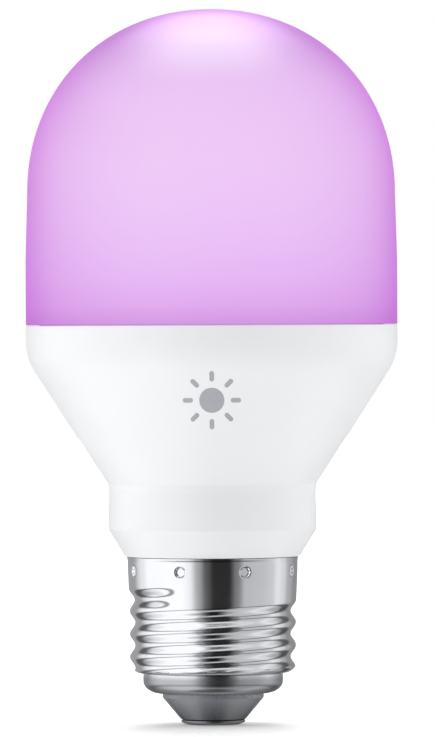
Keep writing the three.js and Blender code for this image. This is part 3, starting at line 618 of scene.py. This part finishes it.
# %% Insulator and contact shapes
insulator = turned(
    "insulator_cone",
    rounded(
        [
            (2.0, 0.85, 0.1), (CONTACT_RADIUS + 0.1, 0.85, 0.25), (8.05, 4.3, 0.18), (8.05, 5.65, 0.1),
            (9.4, 5.65, 0.1), (10.35, 6.9, 0.3), (10.35, 8.3, 0.3), (2.0, 8.3, 0.2),
        ]
    ),
    160,
)
contact = turned(
    "tip_contact_rivet",
    rounded(
        [
            (0, 0, 0), (4.05, 0, 0.5), (CONTACT_RADIUS, 0.35, 0.22), (CONTACT_RADIUS, 0.75, 0.1),
            (1.7, 0.75, 0.15), (1.7, SHANK_TOP_Z, 0.15), (0.95, SHANK_TOP_Z, 0.15), (0.95, 4.5, 0.2),
            (0, 4.5, 0),
        ]
    ),
    128,
)

# %% [markdown]
# ## Insulator and contact finishes
# The insulator is a dark, slightly glossy moulding. Painted shade darkens it towards its foot, where the
# floor near the tip would shade it. The contact is the same nickel as the shell, darker in tone and rougher.

# %% Insulator and contact finishes
PAINTED_SHADE_TONE, PAINTED_SHADE_SHARE = (40, 42, 46), 0.85
FOOT_Z, STEP_Z = 0.8, 5.6


def insulator_finish():
    """The grained grey, blended with a painted shade tone by a share that falls from the foot up to the step.
    """
    material = grained(
        "dark_grey_insulator", (140, 144, 150), (130, 134, 140), (0.24, 0.3), blotch_mm=5.0, grain_mm=0.2,
        depth_mm=0.0015, IOR=1.9,
    )
    tree = material.node_tree
    shader = tree.nodes["Principled BSDF"]
    plain = shader.inputs["Base Color"].links[0].from_socket
    # Painted shade: a darker tone that fades out from the foot up to the step.
    down = remap(tree, height_up(tree), FOOT_Z * MM, STEP_Z * MM, PAINTED_SHADE_SHARE, 0.0)
    tree.links.new(blend_colours(tree, down, plain, rgb(*PAINTED_SHADE_TONE)), shader.inputs["Base Color"])
    return material


insulator_grey = insulator_finish()
# The tip contact takes a nickel darker in tone and rougher than the shell's.
dull_nickel = nickel("dulled_nickel_plate", (142, 144, 148), (108, 110, 115), (0.25, 0.42))
place(insulator, "insulator", "base_insulator", materials=[insulator_grey])
place(contact, "contact_nickel", "centre_contact", materials=[dull_nickel])

# %% [markdown]
# ## The printed mark
# A small grey mark is pad-printed on the cone: here a plain sun, the usual sign for brightness. A print has
# almost no thickness, but it is a real layer of ink, so it is built as thin closed patches that bend with
# the cone instead of as a picture. Each patch is an outline in the plane, wrapped on the cone at two
# depths.

# %% Printed sun
MARK_Z = 51.7
DISC_RADIUS = 1.95
RAY_REACH = (2.95, 4.55)
RAY_COUNT, RAY_HALF_WIDTH = 8, 0.36
INK = 0.03
CONE_LEAN = math.atan(CONE_SLOPE)


def wrapped_patch(outline_xy):
    """An outline, filled in to its centre and wrapped on the cone: x runs round the cone at its own radius
    and y is height, so the mark looks round from the front. The under side lies just below the housing's
    skin, and the upper side as far above it."""
    centre = outline_xy.mean(0)
    share = np.array([0.0, 0.5, 1.0, 1.0, 0.5, 0.0])[:, None, None]
    depth = np.array([-INK] * 3 + [INK] * 3)[:, None]
    flat = centre + (outline_xy - centre) * share
    height = MARK_Z + flat[..., 1]
    radius = cone_radius(height)
    angle = -np.pi / 2 + flat[..., 0] / radius
    outwards = radius + depth * math.cos(CONE_LEAN)
    return round_the_axis(outwards, height - depth * math.sin(CONE_LEAN), angle)


def disc_outline(count=96):
    angle = even_angles(count)
    return np.stack([DISC_RADIUS * np.cos(angle), DISC_RADIUS * np.sin(angle)], -1)


def ray_outline(turn, count=24):
    """A capsule from the inner to the outer reach, turned about the mark's centre."""
    low, high = RAY_REACH[0] + RAY_HALF_WIDTH, RAY_REACH[1] - RAY_HALF_WIDTH
    arc = np.linspace(-np.pi / 2, np.pi / 2, count)
    tip = np.stack([high + RAY_HALF_WIDTH * np.cos(arc), RAY_HALF_WIDTH * np.sin(arc)], -1)
    tail = np.stack([low - RAY_HALF_WIDTH * np.cos(arc), -RAY_HALF_WIDTH * np.sin(arc)], -1)
    x, y = np.concatenate([tip, tail]).T
    return np.stack([x * math.cos(turn) - y * math.sin(turn), x * math.sin(turn) + y * math.cos(turn)], -1)


grey_ink = grained(
    "grey_pad_print_ink", (170, 172, 177), (160, 162, 168), (0.4, 0.5), blotch_mm=0.8, grain_mm=0.08,
    depth_mm=0.002,
)
place(skin("printed_sun_disc", wrapped_patch(disc_outline())), "housing", materials=[grey_ink])
for i in range(RAY_COUNT):
    ray = skin(f"printed_sun_ray_{i + 1}", wrapped_patch(ray_outline(2 * np.pi * i / RAY_COUNT)))
    place(ray, "housing", materials=[grey_ink])

# %% [markdown]
# ## Finishes for the pieces inside
# Flat boards, moulded blocks and pressed metal keep the shapes of their solids. Each takes a finish that
# suits what it is: solder mask over copper, enamelled wire, dipped epoxy, sintered ferrite, printed sleeves
# and so on.

# %% Inner finishes
inner_finishes = {
    "lead_live": grained("red_wire_insulation", (190, 62, 54), (168, 48, 42), (0.35, 0.5), blotch_mm=2.0),
    "lead_neutral": grained("black_wire_insulation", (44, 44, 48), (32, 32, 35), (0.35, 0.5), blotch_mm=2.0),
    "heat_sink": grained("pressed_aluminium", (196, 198, 200), (178, 180, 184), (0.35, 0.5), 1.0),
    "sleeve": grained("natural_nylon", (236, 233, 222), (224, 220, 206), (0.4, 0.55), Subsurface_Weight=0.1),
    "thermal_pad": grained("grey_silicone_pad", (150, 155, 160), (132, 137, 143), (0.7, 0.85), grain_mm=0.15),
    "light_board": grained("white_solder_mask", (246, 246, 242), (238, 238, 234), (0.3, 0.42), grain_mm=0.6),
    "screw_steel": grained("zinc_plated_steel", (190, 192, 198), (160, 163, 170), (0.25, 0.4), 1.0),
    "led_warm": grained("amber_phosphor", (236, 205, 110), (226, 190, 90), (0.4, 0.55), grain_mm=0.05),
    "led_cool": grained("pale_phosphor", (242, 236, 180), (232, 226, 160), (0.4, 0.55), grain_mm=0.05),
    "led_red": grained("red_chip_lens", (224, 100, 84), (208, 84, 70), (0.12, 0.25)),
    "led_green": grained("green_chip_lens", (110, 196, 130), (92, 180, 114), (0.12, 0.25)),
    "led_blue": grained("blue_chip_lens", (100, 130, 220), (82, 112, 204), (0.12, 0.25)),
    "connector_white": grained("white_nylon", (238, 237, 230), (228, 226, 218), (0.4, 0.55)),
    "adhesive": grained("white_silicone", (238, 236, 230), (228, 226, 220), (0.35, 0.5), blotch_mm=1.5),
    "driver_board": grained("green_solder_mask", (44, 108, 74), (28, 84, 56), (0.25, 0.4), blotch_mm=2.0),
    "ceramic_body": grained("tan_ceramic", (206, 190, 152), (190, 172, 134), (0.45, 0.6), blotch_mm=1.0),
    "heat_shrink": grained("black_heat_shrink", (40, 40, 43), (28, 28, 31), (0.4, 0.6), blotch_mm=1.5),
    "ferrite": grained("sintered_ferrite", (72, 73, 79), (54, 55, 61), (0.55, 0.75), grain_mm=0.15),
    "copper_wire": grained("enamelled_copper", (198, 118, 74), (170, 92, 54), (0.25, 0.4), 1.0),
    "blue_epoxy": grained("blue_epoxy_dip", (52, 104, 180), (38, 86, 158), (0.2, 0.35), blotch_mm=2.0),
    "chip_black": grained("moulding_compound", (48, 48, 51), (36, 36, 39), (0.5, 0.7), grain_mm=0.08),
    "capacitor_sleeve": grained("printed_sleeve", (44, 50, 58), (34, 39, 46), (0.25, 0.35)),
    "film_box": grained("yellow_moulded_box", (224, 178, 72), (208, 162, 58), (0.35, 0.5)),
    "winding_tape": grained("polyester_tape", (226, 190, 70), (210, 174, 54), (0.2, 0.35), blotch_mm=1.5),
    "header_black": grained("black_nylon", (42, 42, 45), (32, 32, 35), (0.45, 0.6)),
    "radio_board": grained("dark_solder_mask", (34, 44, 58), (24, 32, 44), (0.25, 0.4), blotch_mm=2.0),
    "shield_can": grained("tinned_steel", (198, 200, 202), (180, 182, 186), (0.2, 0.35), 1.0),
    "aerial_copper": grained("gold_plated_trace", (224, 184, 104), (206, 164, 86), (0.2, 0.35), 1.0),
}
slot_of = {part["node"]: part["material_slot"] for part in frame["record"]["subparts"]}
dressed = 0
for name, solid in nodes.items():
    if slot_of[name] in inner_finishes:
        solid.data.materials.clear()
        solid.data.materials.append(inner_finishes[slot_of[name]])
        dressed += 1
print("inner nodes dressed:", dressed)
tinned_wire = inner_finishes["shield_can"]


def stand_in(piece, solid):
    """A fine piece in place of one inner solid, with the finish of that solid's slot."""
    return place(piece, slot_of[solid], solid, materials=[inner_finishes[slot_of[solid]]])


# %% [markdown]
# ## The emitters
# Each emitter is a square white reflector frame with a round cup, filled with phosphor or with clear resin,
# and with one corner cut to mark its cathode. A bevelled box with a boolean cup would do, but a grid whose
# rows pass from a square outline to a round one makes the frame, the cup and the filling in one closed
# skin.

# %% Emitters
LED_HALF = 1.4
LED_CORNER_CUT = 0.5
WHITE_COUNT, WHITE_CIRCLE = 12, 19.5
COLOUR_COUNT, COLOUR_CIRCLE = 6, 11.6
white_frame = grained("white_reflector_frame", (240, 240, 236), (232, 232, 228), (0.35, 0.5), grain_mm=0.05)


def led_outline(angles):
    """The unit outline of a package: the square 1 / (|cos|^8 + |sin|^8)^(1/8), or the line across the cut
    corner where that is nearer."""
    cos, sin = np.cos(angles), np.sin(angles)
    square = (np.abs(cos) ** 8 + np.abs(sin) ** 8) ** -0.125
    across = (2 - LED_CORNER_CUT / LED_HALF) / np.maximum(cos + sin, 0.1)
    return np.minimum(square, across)


def led_package(name, turn, circle, resin):
    """Each row has a size, a squareness and a height. Its radius is the size times a blend of a circle and
    the outline, by the squareness."""
    frame_rows = [
        (0, 1, 0), (1.34, 1, 0), (LED_HALF, 1, 0.06), (LED_HALF, 1, 0.74), (1.36, 1, 0.79), (1.3, 0.8, 0.8),
        (1.18, 0, 0.8), (1.14, 0, 0.78),
    ]
    resin_rows = [
        (1.03, 0, 0.6), (0.9, 0, 0.63), (0.7, 0, 0.665), (0.45, 0, 0.69), (0.2, 0, 0.7), (0, 0, 0.7),
    ]
    size, squareness, height = np.moveaxis(np.array(frame_rows + resin_rows), 1, 0)[:, :, None]
    angles = even_angles(64)
    local = round_the_axis(size * (1 + squareness * (led_outline(angles) - 1)), height, angles)
    cos, sin = math.cos(turn), math.sin(turn)
    spin = np.array([[cos, -sin, 0], [sin, cos, 0], [0, 0, 1]])
    base_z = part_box(name)[0].z / MM
    grid = (local + (circle, 0, base_z)) @ spin.T
    slots = [0] * len(frame_rows) + [1] * (len(resin_rows) - 1)
    package = skin(name + "_package", grid, row_slots=slots)
    place(package, slot_of[name], name, materials=[white_frame, resin])


for i in range(WHITE_COUNT):
    kind = ("warm", "cool")[i % 2]
    turn = 2 * np.pi * (i + 0.5) / WHITE_COUNT
    led_package(f"led_{kind}_white_{i // 2 + 1}", turn, WHITE_CIRCLE, inner_finishes["led_" + kind])
for i in range(COLOUR_COUNT):
    kind = ("red", "green", "blue")[i % 3]
    turn = 2 * np.pi * (i + 0.5) / COLOUR_COUNT
    led_package(f"led_{kind}_{i // 3 + 1}", turn, COLOUR_CIRCLE, inner_finishes["led_" + kind])

# %% [markdown]
# ## Wires and leads
# Wire bends in smooth curves. A bevelled Blender curve would do this, but here the centre line and its
# rings are one grid, so the ends are closed and the wire is as thick as stated. The two insulated leads run
# from the base to the driver board. Short tinned leads carry the large components.

# %% Wires
END_SIZE = 0.85
LIVE_RADIUS, NEUTRAL_RADIUS, LEAD_RADIUS = 0.54, 0.39, 0.28
BOARD_FACE_Y = 0.72
BEND, BEND_EASE = 0.7, 0.17


def wire(name, points, radius, across=(0.2, 1.0, 0.1), per_span=14, sides=24):
    """A round wire along a curve through the points. In each span the curve is the cubic that passes each
    point along the line between its two neighbours. Rings stand square to it, and the ends are a little
    rounded."""
    points = np.asarray(points, float)
    ends = np.concatenate([[2 * points[0] - points[1]], points, [2 * points[-1] - points[-2]]])
    a, b, c, d = ends[:-3, None], ends[1:-2, None], ends[2:-1, None], ends[3:, None]
    t = np.linspace(0, 1, per_span, endpoint=False)[None, :, None]
    curve = b + 0.5 * t * (c - a + t * (2 * a - 5 * b + 4 * c - d + t * (3 * (b - c) + d - a)))
    path = np.concatenate([curve.reshape(-1, 3), points[-1:]])
    along = np.gradient(path, axis=0)
    along /= np.linalg.norm(along, axis=1, keepdims=True)
    first = np.cross(np.asarray(across, float), along)
    first /= np.linalg.norm(first, axis=1, keepdims=True)
    second = np.cross(along, first)
    ends_twice = [0, *range(len(path)), -1]
    path, first, second = path[ends_twice], first[ends_twice], second[ends_twice]
    size = np.full(len(path), radius)
    size[[0, 1, -2, -1]] = 0, END_SIZE * radius, END_SIZE * radius, 0
    phase = even_angles(sides)[None, :, None]
    rings = first[:, None] * np.cos(phase) + second[:, None] * np.sin(phase)
    return skin(name, path[:, None] + rings * size[:, None, None])


def bent_lead(name, x, y, start_z, bend_z):
    """A tinned lead that runs from a component to the bend's height, then turns in to the board's face."""
    face, travel = math.copysign(BOARD_FACE_Y, y), math.copysign(1, bend_z - start_z)
    inwards = math.copysign(1, face - y)
    points = [
        (x, y, start_z), (x, y, bend_z - BEND * travel),
        (x, y + BEND_EASE * inwards, bend_z - BEND_EASE * travel), (x, y + BEND * inwards, bend_z),
        (x, (y + face) / 2, bend_z), (x, face, bend_z),
    ]
    lead = wire(name, points, LEAD_RADIUS, across=(1, 0, 0), per_span=8, sides=16)
    place(lead, "shield_can", materials=[tinned_wire])


def two_leads(name, x, y, spread, start_z, bend_z):
    """A lead on either side of a component's middle."""
    for i, step in enumerate((-spread, spread)):
        bent_lead(f"{name}_lead_{i + 1}", x + step, y, start_z, bend_z)


live = [(-2.5, -1.35, 17), (-2.5, -1.35, 13.4), (-1.3, -1.2, 11.2), (0, -0.3, 10), (0, 0, 8.8), (0, 0, 5.5)]
neutral = [
    (7.2, -1.25, 16), (7.2, -1.3, 13.4), (8.2, -0.9, 10.6), (10.2, -0.1, 9.5), (11.2, 0, 10.3), (11.3, 0, 14),
]
stand_in(wire("live_wire", live, LIVE_RADIUS), "live_lead")
stand_in(wire("neutral_wire", neutral, NEUTRAL_RADIUS), "neutral_lead")

# %% [markdown]
# ## Can capacitors
# A large capacitor is an aluminium can in a shrunk sleeve, with a rolled groove that grips its rubber bung
# and a scored cross on top, which opens as a vent. The can is turned, and the cross is a drop in the height
# of the points of its top, which keeps the skin closed where a cut by a boolean might not.

# %% Can capacitors
CAN_LEAD_SPREAD = 0.35
SCORE_DEPTH, SCORE_FLOOR, SCORE_EDGE = 0.07, 0.06, 0.16


def can_capacitor(name, x, y, z, radius, height):
    """A can turned from a rounded profile. On its top disc the height drops in a cross, which is the vent."""
    wall = rounded([
        (radius - 0.8, 0, 0), (radius, 0, 0.3), (radius, 1.3, 0.15), (radius - 0.35, 1.7, 0.25),
        (radius, 2.1, 0.15), (radius, height, 0.4), (radius - 0.8, height, 0),
    ])
    top = [(r, height - 0.1) for r in np.linspace(radius - 0.86, 0, 24)]
    grid = turned_grid(np.concatenate([[(0, 0)], wall, top]), 144)
    near = np.minimum(np.abs(grid[..., 0]), np.abs(grid[..., 1]))
    on_top = (grid[..., 2] > height - 0.2) & (np.hypot(grid[..., 0], grid[..., 1]) < radius - 1.1)
    grid[..., 2] -= SCORE_DEPTH * on_top * (1 - smooth_step(near, SCORE_FLOOR, SCORE_EDGE))
    bung_sleeve_top = [2] + [0] * (len(wall) - 1) + [1] * len(top)
    can = skin(name + "_can", grid + (x, y, z), row_slots=bung_sleeve_top)
    finishes = [inner_finishes[slot] for slot in ("capacitor_sleeve", "heat_sink", "header_black")]
    place(can, slot_of[name], name, materials=finishes)
    two_leads(name, x, y, CAN_LEAD_SPREAD * radius, z + 0.1, z - 1.0)


can_capacitor("bulk_capacitor", x=-5.2, y=-4.9, z=31.6, radius=4.0, height=13.0)
can_capacitor("output_capacitor", x=11.4, y=4.1, z=46.8, radius=3.15, height=9.0)

# %% [markdown]
# ## Dipped discs
# The varistor and the safety capacitor are flat discs dipped in epoxy, which rounds their edges and leaves
# their faces slightly domed. A squashed sphere is too round, so the section is a superellipse.

# %% Dipped discs
DISC_LEAD_SPREAD = 0.6


def dipped_disc(name, x, y, z, radius, thickness):
    """A disc on a level axis: its radius follows cos^0.4 and its half thickness sin^0.8 from face to face."""
    s = np.linspace(-np.pi / 2, np.pi / 2, 49)[:, None]
    r = radius * np.abs(np.cos(s)) ** 0.4
    r[[0, -1]] = 0
    depth = thickness / 2 * np.sign(s) * np.abs(np.sin(s)) ** 0.8
    angles = even_angles(96)[None]
    grid = np.stack([x + r * np.sin(angles), y + depth + 0 * angles, z + r * np.cos(angles)], -1)
    stand_in(skin(name + "_disc", grid), name)
    two_leads(name, x, y, DISC_LEAD_SPREAD * radius, z - 0.7 * radius, z - radius - 0.8)


dipped_disc("varistor", x=0.0, y=3.2, z=23.0, radius=3.5, thickness=3.0)
dipped_disc("safety_capacitor", x=8.6, y=3.0, z=37.0, radius=2.6, thickness=2.0)

# %% [markdown]
# ## The choke's winding
# The choke is enamelled wire wound round a ferrite drum. A long wire swept along a helix would need many
# faces that nobody sees, so the winding is one tube whose outer face follows the turns.

# %% Winding
def wound_sleeve(name, x, y, inner, outer, bottom, top, wire_size):
    """A tube whose outer radius rises over each turn of wire as half a circle. The turns climb one wire's
    width each time round."""
    angles = even_angles(72)[None]
    z = np.linspace(bottom, top, 177)[:, None]
    turn = ((z - bottom) / wire_size - angles / (2 * np.pi)) % 1
    bulge = np.sqrt(np.maximum(1 - (2 * turn - 1) ** 2, 0)) * wire_size / 2
    bore = np.full(angles.shape, inner)
    r = np.concatenate([bore, outer - wire_size / 2 + bulge, bore])
    z = np.concatenate([z[:1], z, z[-1:]])
    stand_in(skin(name + "_turns", round_the_axis(r, z, angles) + (x, y, 0), loop_rows=True), name)


wound_sleeve("choke_winding", x=-3.9, y=-4.3, inner=1.7, outer=2.75, bottom=20.0, top=25.5, wire_size=0.5)

# %% [markdown]
# ## The fusible resistor
# A fusible resistor opens if the driver fails. Its ceramic body has a pressed cap at each end, and it sits
# in a shrunk sleeve, which is drawn in over the caps' edges.

# %% Fusible resistor
RESISTOR_PLACE = (4.6, -3.2, 0)
resistor = rounded([
    (0, 18, 0), (1.5, 18, 0.4), (1.5, 19.5, 0.35), (1.2, 19.9, 0.4), (1.2, 23.1, 0.4), (1.5, 23.5, 0.35),
    (1.5, 25, 0.4), (0, 25, 0),
])
shrunk = rounded([
    (1.62, 17.4, 0.08), (1.85, 17.4, 0.1), (2.05, 18.6, 0.5), (2.05, 24.4, 0.5), (1.85, 25.6, 0.1),
    (1.62, 25.6, 0.08), (1.8, 24.4, 0.5), (1.8, 18.6, 0.5),
])
stand_in(turned("fuse_resistor_body", resistor, 72, centre=RESISTOR_PLACE), "fuse_resistor")
bent_lead("fuse_resistor_lead_1", *RESISTOR_PLACE[:2], start_z=24.9, bend_z=27.3)
bent_lead("fuse_resistor_lead_2", *RESISTOR_PLACE[:2], start_z=18.1, bend_z=15.7)
stand_in(turned("heat_shrink_sleeve", shrunk, 72, centre=RESISTOR_PLACE), "heat_shrink")

# %% [markdown]
# ## The silicone bead
# A bead of silicone seals the diffuser's skirt in the housing's rim. A plain torus would look machined, so
# its thickness wavers a little, as a bead laid by hand does.

# %% Silicone bead
BEAD_RADIUS, BEAD_Z, BEAD_SIZE = 26.75, 61.2, 0.31


def silicone_bead():
    """A ring of round section, whose size swells and shrinks by up to a twelfth in two waves round it."""
    around = even_angles(256)[None]
    section = even_angles(20)[:, None]
    size = BEAD_SIZE * (1 + 0.08 * np.sin(7 * around + 0.6) * np.cos(3 * around))
    grid = round_the_axis(BEAD_RADIUS + size * np.cos(section), BEAD_Z + size * np.sin(section), around)
    return skin("silicone_ring", grid, loop_rows=True)


stand_in(silicone_bead(), "adhesive_bead")

# %% [markdown]
# ## The floor
# The lamp stands on a white light table. A plane would do, but a thin disc has an underside too. Its faint
# glow hides the line between it and the plain backdrop. It takes light and shadow, but it is left out of
# mirror reflections, so that the shell reflects the walls.

# %% Floor
FLOOR_RADIUS, FLOOR_TOP_Z, FLOOR_UNDERSIDE_Z = 3000.0, -0.02, -0.4
FLOOR_GLOW = 0.22


def make_floor():
    profile = [
        (0, FLOOR_UNDERSIDE_Z), (FLOOR_RADIUS, FLOOR_UNDERSIDE_Z), (FLOOR_RADIUS, FLOOR_TOP_Z),
        (0, FLOOR_TOP_Z),
    ]
    floor = turned("studio_floor", profile, 96)
    light_table = grained(
        "pale_light_table", (229, 229, 229), (226, 226, 226), (0.6, 0.7), blotch_mm=60.0, grain_mm=2.0,
        Emission_Color=(1.0, 1.0, 1.0, 1.0), Emission_Strength=FLOOR_GLOW,
    )
    floor.data.materials.append(light_table)
    floor.visible_glossy = False
    return floor


floor = make_floor()
print("floor radius:", FLOOR_RADIUS * MM, "m")

# %% [markdown]
# ## The studio's tones
# Nickel shows whatever is round it, so the studio is the picture that the shell reflects: a broad soft box
# on the left, a dark gap in front, a dimmer panel on the right and shade behind. Bright strips above and
# below, and narrow gaps near the horizon, draw the lines along the thread. A soft box overhead, built of
# three ovals, draws the highlight on the dome. Matte surfaces take a broader fill than mirrors see, as they
# do when small black cards stand close to a metal piece. Each tone stands at its azimuth in degrees, from
# the front to the right.

# %% Studio tones
WALL_TONES = [
    (-180, 0.34), (-155, 0.4), (-138, 0.4), (-112, 1.0), (-98, 1.22), (-44, 1.24), (-33, 1.1), (-20, 0.46),
    (-9, 0.12), (2, 0.03), (22, 0.03), (35, 0.26), (46, 0.6), (72, 0.64), (88, 0.72), (101, 0.95),
    (114, 0.8), (126, 0.5), (150, 0.3), (180, 0.34),
]
FILL_TONES = [
    (-180, 0.9), (-120, 1.1), (-95, 1.3), (-60, 1.55), (-30, 1.9), (-16, 1.2), (-4, 0.1), (26, 0.0),
    (40, 0.2), (60, 1.0), (90, 2.0), (120, 2.1), (180, 0.9),
]
FILL = 0.94
SKY, GROUND = 0.75, 0.95
BELT_TOP, BELT_BOTTOM, BELT_SOFT = 46.0, -38.0, 8.0
STRIPS = [(52, 66, 0.82), (-66, -52, 0.62)]
GAPS = [(20, 31), (-31, -20)]
GAP_DEPTH = 0.7
EDGE_SOFT = 3.0
OVALS = [(12, 20, 22.5, 3.0, 10.0), (38, 18, 18, 0.0, 7.2), (58, 14, 9, 0.0, 2.4)]
NADIR = (-76, -64, 0.2)
print("studio:", len(WALL_TONES), "wall tones,", len(FILL_TONES), "fill tones and", len(OVALS), "ovals")

# %% [markdown]
# ## The studio's light
# All this could be lamps and cards, but as one world shader it has no noise, and it costs no geometry.
# Every ray that leaves the lamp asks the shader for the light in its own direction: a glossy ray gets what
# mirrors see, a camera ray gets the plain backdrop, and any other ray gets the fill.

# %% Studio
def studio():
    """Light by direction. Azimuth 0 is the front and grows to the right. Matte surfaces take the fill: round
    the walls the tone follows azimuth, above them it is the sky's and below them the ground's. Mirrors see
    the walls from floor to ceiling, crossed by bright strips and narrow gaps, and darker near the nadir. The
    soft box overhead is three ovals of light: each has its middle, so many degrees behind the zenith, its
    half depth and half width, and its two strengths."""
    world = bpy.data.worlds.new("studio")
    bpy.context.scene.world = world
    world.use_nodes = True
    tree = world.node_tree
    direction = node(tree, "ShaderNodeTexCoord").outputs["Generated"]
    xyz = node(tree, "ShaderNodeSeparateXYZ", {"Vector": direction}).outputs

    def calc(operation, *values):
        return node(tree, "ShaderNodeMath", dict(enumerate(values)), operation=operation).outputs[0]

    azimuth = calc("ARCTAN2", xyz["X"], calc("MULTIPLY", xyz["Y"], -1.0))
    elevation = calc("MULTIPLY", calc("ARCSINE", xyz["Z"]), 180 / np.pi)

    def round_walls(tones):
        around = remap(tree, azimuth, -np.pi, np.pi, 0.0, 1.0)
        return colour_ramp(tree, around, [((d + 180) / 360, (tone,) * 3) for d, tone in tones], "EASE")

    up = remap(tree, elevation, BELT_TOP - BELT_SOFT, BELT_TOP + BELT_SOFT, 0.0, 1.0, smooth=True)
    down = remap(tree, elevation, BELT_BOTTOM - BELT_SOFT, BELT_BOTTOM + BELT_SOFT, 1.0, 0.0, smooth=True)
    belt = calc("MULTIPLY", round_walls(FILL_TONES), calc("SUBTRACT", calc("SUBTRACT", 1.0, up), down))
    fill = calc("ADD", belt, calc("ADD", calc("MULTIPLY", up, SKY), calc("MULTIPLY", down, GROUND)))
    fill = calc("MULTIPLY", fill, FILL)

    def band(low, high, tone):
        rise = remap(tree, elevation, low - EDGE_SOFT, low + EDGE_SOFT, 0.0, tone, smooth=True)
        fall = remap(tree, elevation, high - EDGE_SOFT, high + EDGE_SOFT, tone, 0.0, smooth=True)
        return calc("MINIMUM", rise, fall)

    mirrored = round_walls(WALL_TONES)
    for low, high in GAPS:
        mirrored = calc("MULTIPLY", mirrored, calc("SUBTRACT", 1.0, band(low, high, GAP_DEPTH)))
    for low, high, tone in STRIPS:
        mirrored = calc("MAXIMUM", mirrored, band(low, high, tone))
    mirrored = calc("MULTIPLY", mirrored, remap(tree, elevation, *NADIR, 1.0, smooth=True))

    across = calc("MULTIPLY", calc("ARCSINE", xyz["X"]), 180 / np.pi)
    back = calc("MULTIPLY", calc("ARCTAN2", xyz["Y"], xyz["Z"]), 180 / np.pi)
    for middle, half_depth, half_width, matte, mirror in OVALS:
        along = calc("MULTIPLY", calc("SUBTRACT", back, middle), 1 / half_depth)
        wide = calc("MULTIPLY", across, 1 / half_width)
        out = calc("SQRT", calc("ADD", calc("MULTIPLY", along, along), calc("MULTIPLY", wide, wide)))
        oval = remap(tree, out, 0.5, 1.5, 1.0, 0.0, smooth=True)
        fill = calc("MULTIPLY_ADD", oval, matte, fill)
        mirrored = calc("MULTIPLY_ADD", oval, mirror, mirrored)
    rays = node(tree, "ShaderNodeLightPath").outputs
    light = node(tree, "ShaderNodeMix", {0: rays["Is Glossy Ray"], 2: fill, 3: mirrored}).outputs[0]
    white = (1.0, 1.0, 1.0, 1.0)
    lit = node(tree, "ShaderNodeBackground", {"Color": white, "Strength": light})
    backdrop = node(tree, "ShaderNodeBackground", {"Color": white, "Strength": 1.0})
    inputs = {0: rays["Is Camera Ray"], 1: lit.outputs[0], 2: backdrop.outputs[0]}
    chosen = node(tree, "ShaderNodeMixShader", inputs)
    tree.links.new(chosen.outputs[0], tree.nodes["World Output"].inputs["Surface"])


studio()

# %% [markdown]
# ## The camera
# The view is a long lens level with the joint, about 1.2 metres from the lamp, so the joint draws as a
# straight line. The lamp leans a hair to the left in the frame, which is the camera's roll.

# %% Camera
DISTANCE = 1.19
LENS = 366.0
PITCH_DOWN = math.radians(0.333)
ROLL = math.radians(0.25)
AIM_RIGHT = 0.0009
camera_data = bpy.data.cameras.new("camera")
camera_data.lens = LENS
camera_data.sensor_width = 36.0
camera_data.clip_end = 100.0
camera = bpy.data.objects.new("camera", camera_data)
bpy.context.scene.collection.objects.link(camera)
upright = Matrix.Rotation(math.pi / 2 - PITCH_DOWN, 4, "X")
rolled = Matrix.Rotation(-ROLL, 4, "Z")
camera.matrix_world = Matrix.Translation((AIM_RIGHT, -DISTANCE, PARTING_Z * MM)) @ upright @ rolled
bpy.context.scene.camera = camera
bpy.context.scene.view_settings.view_transform = "Standard"
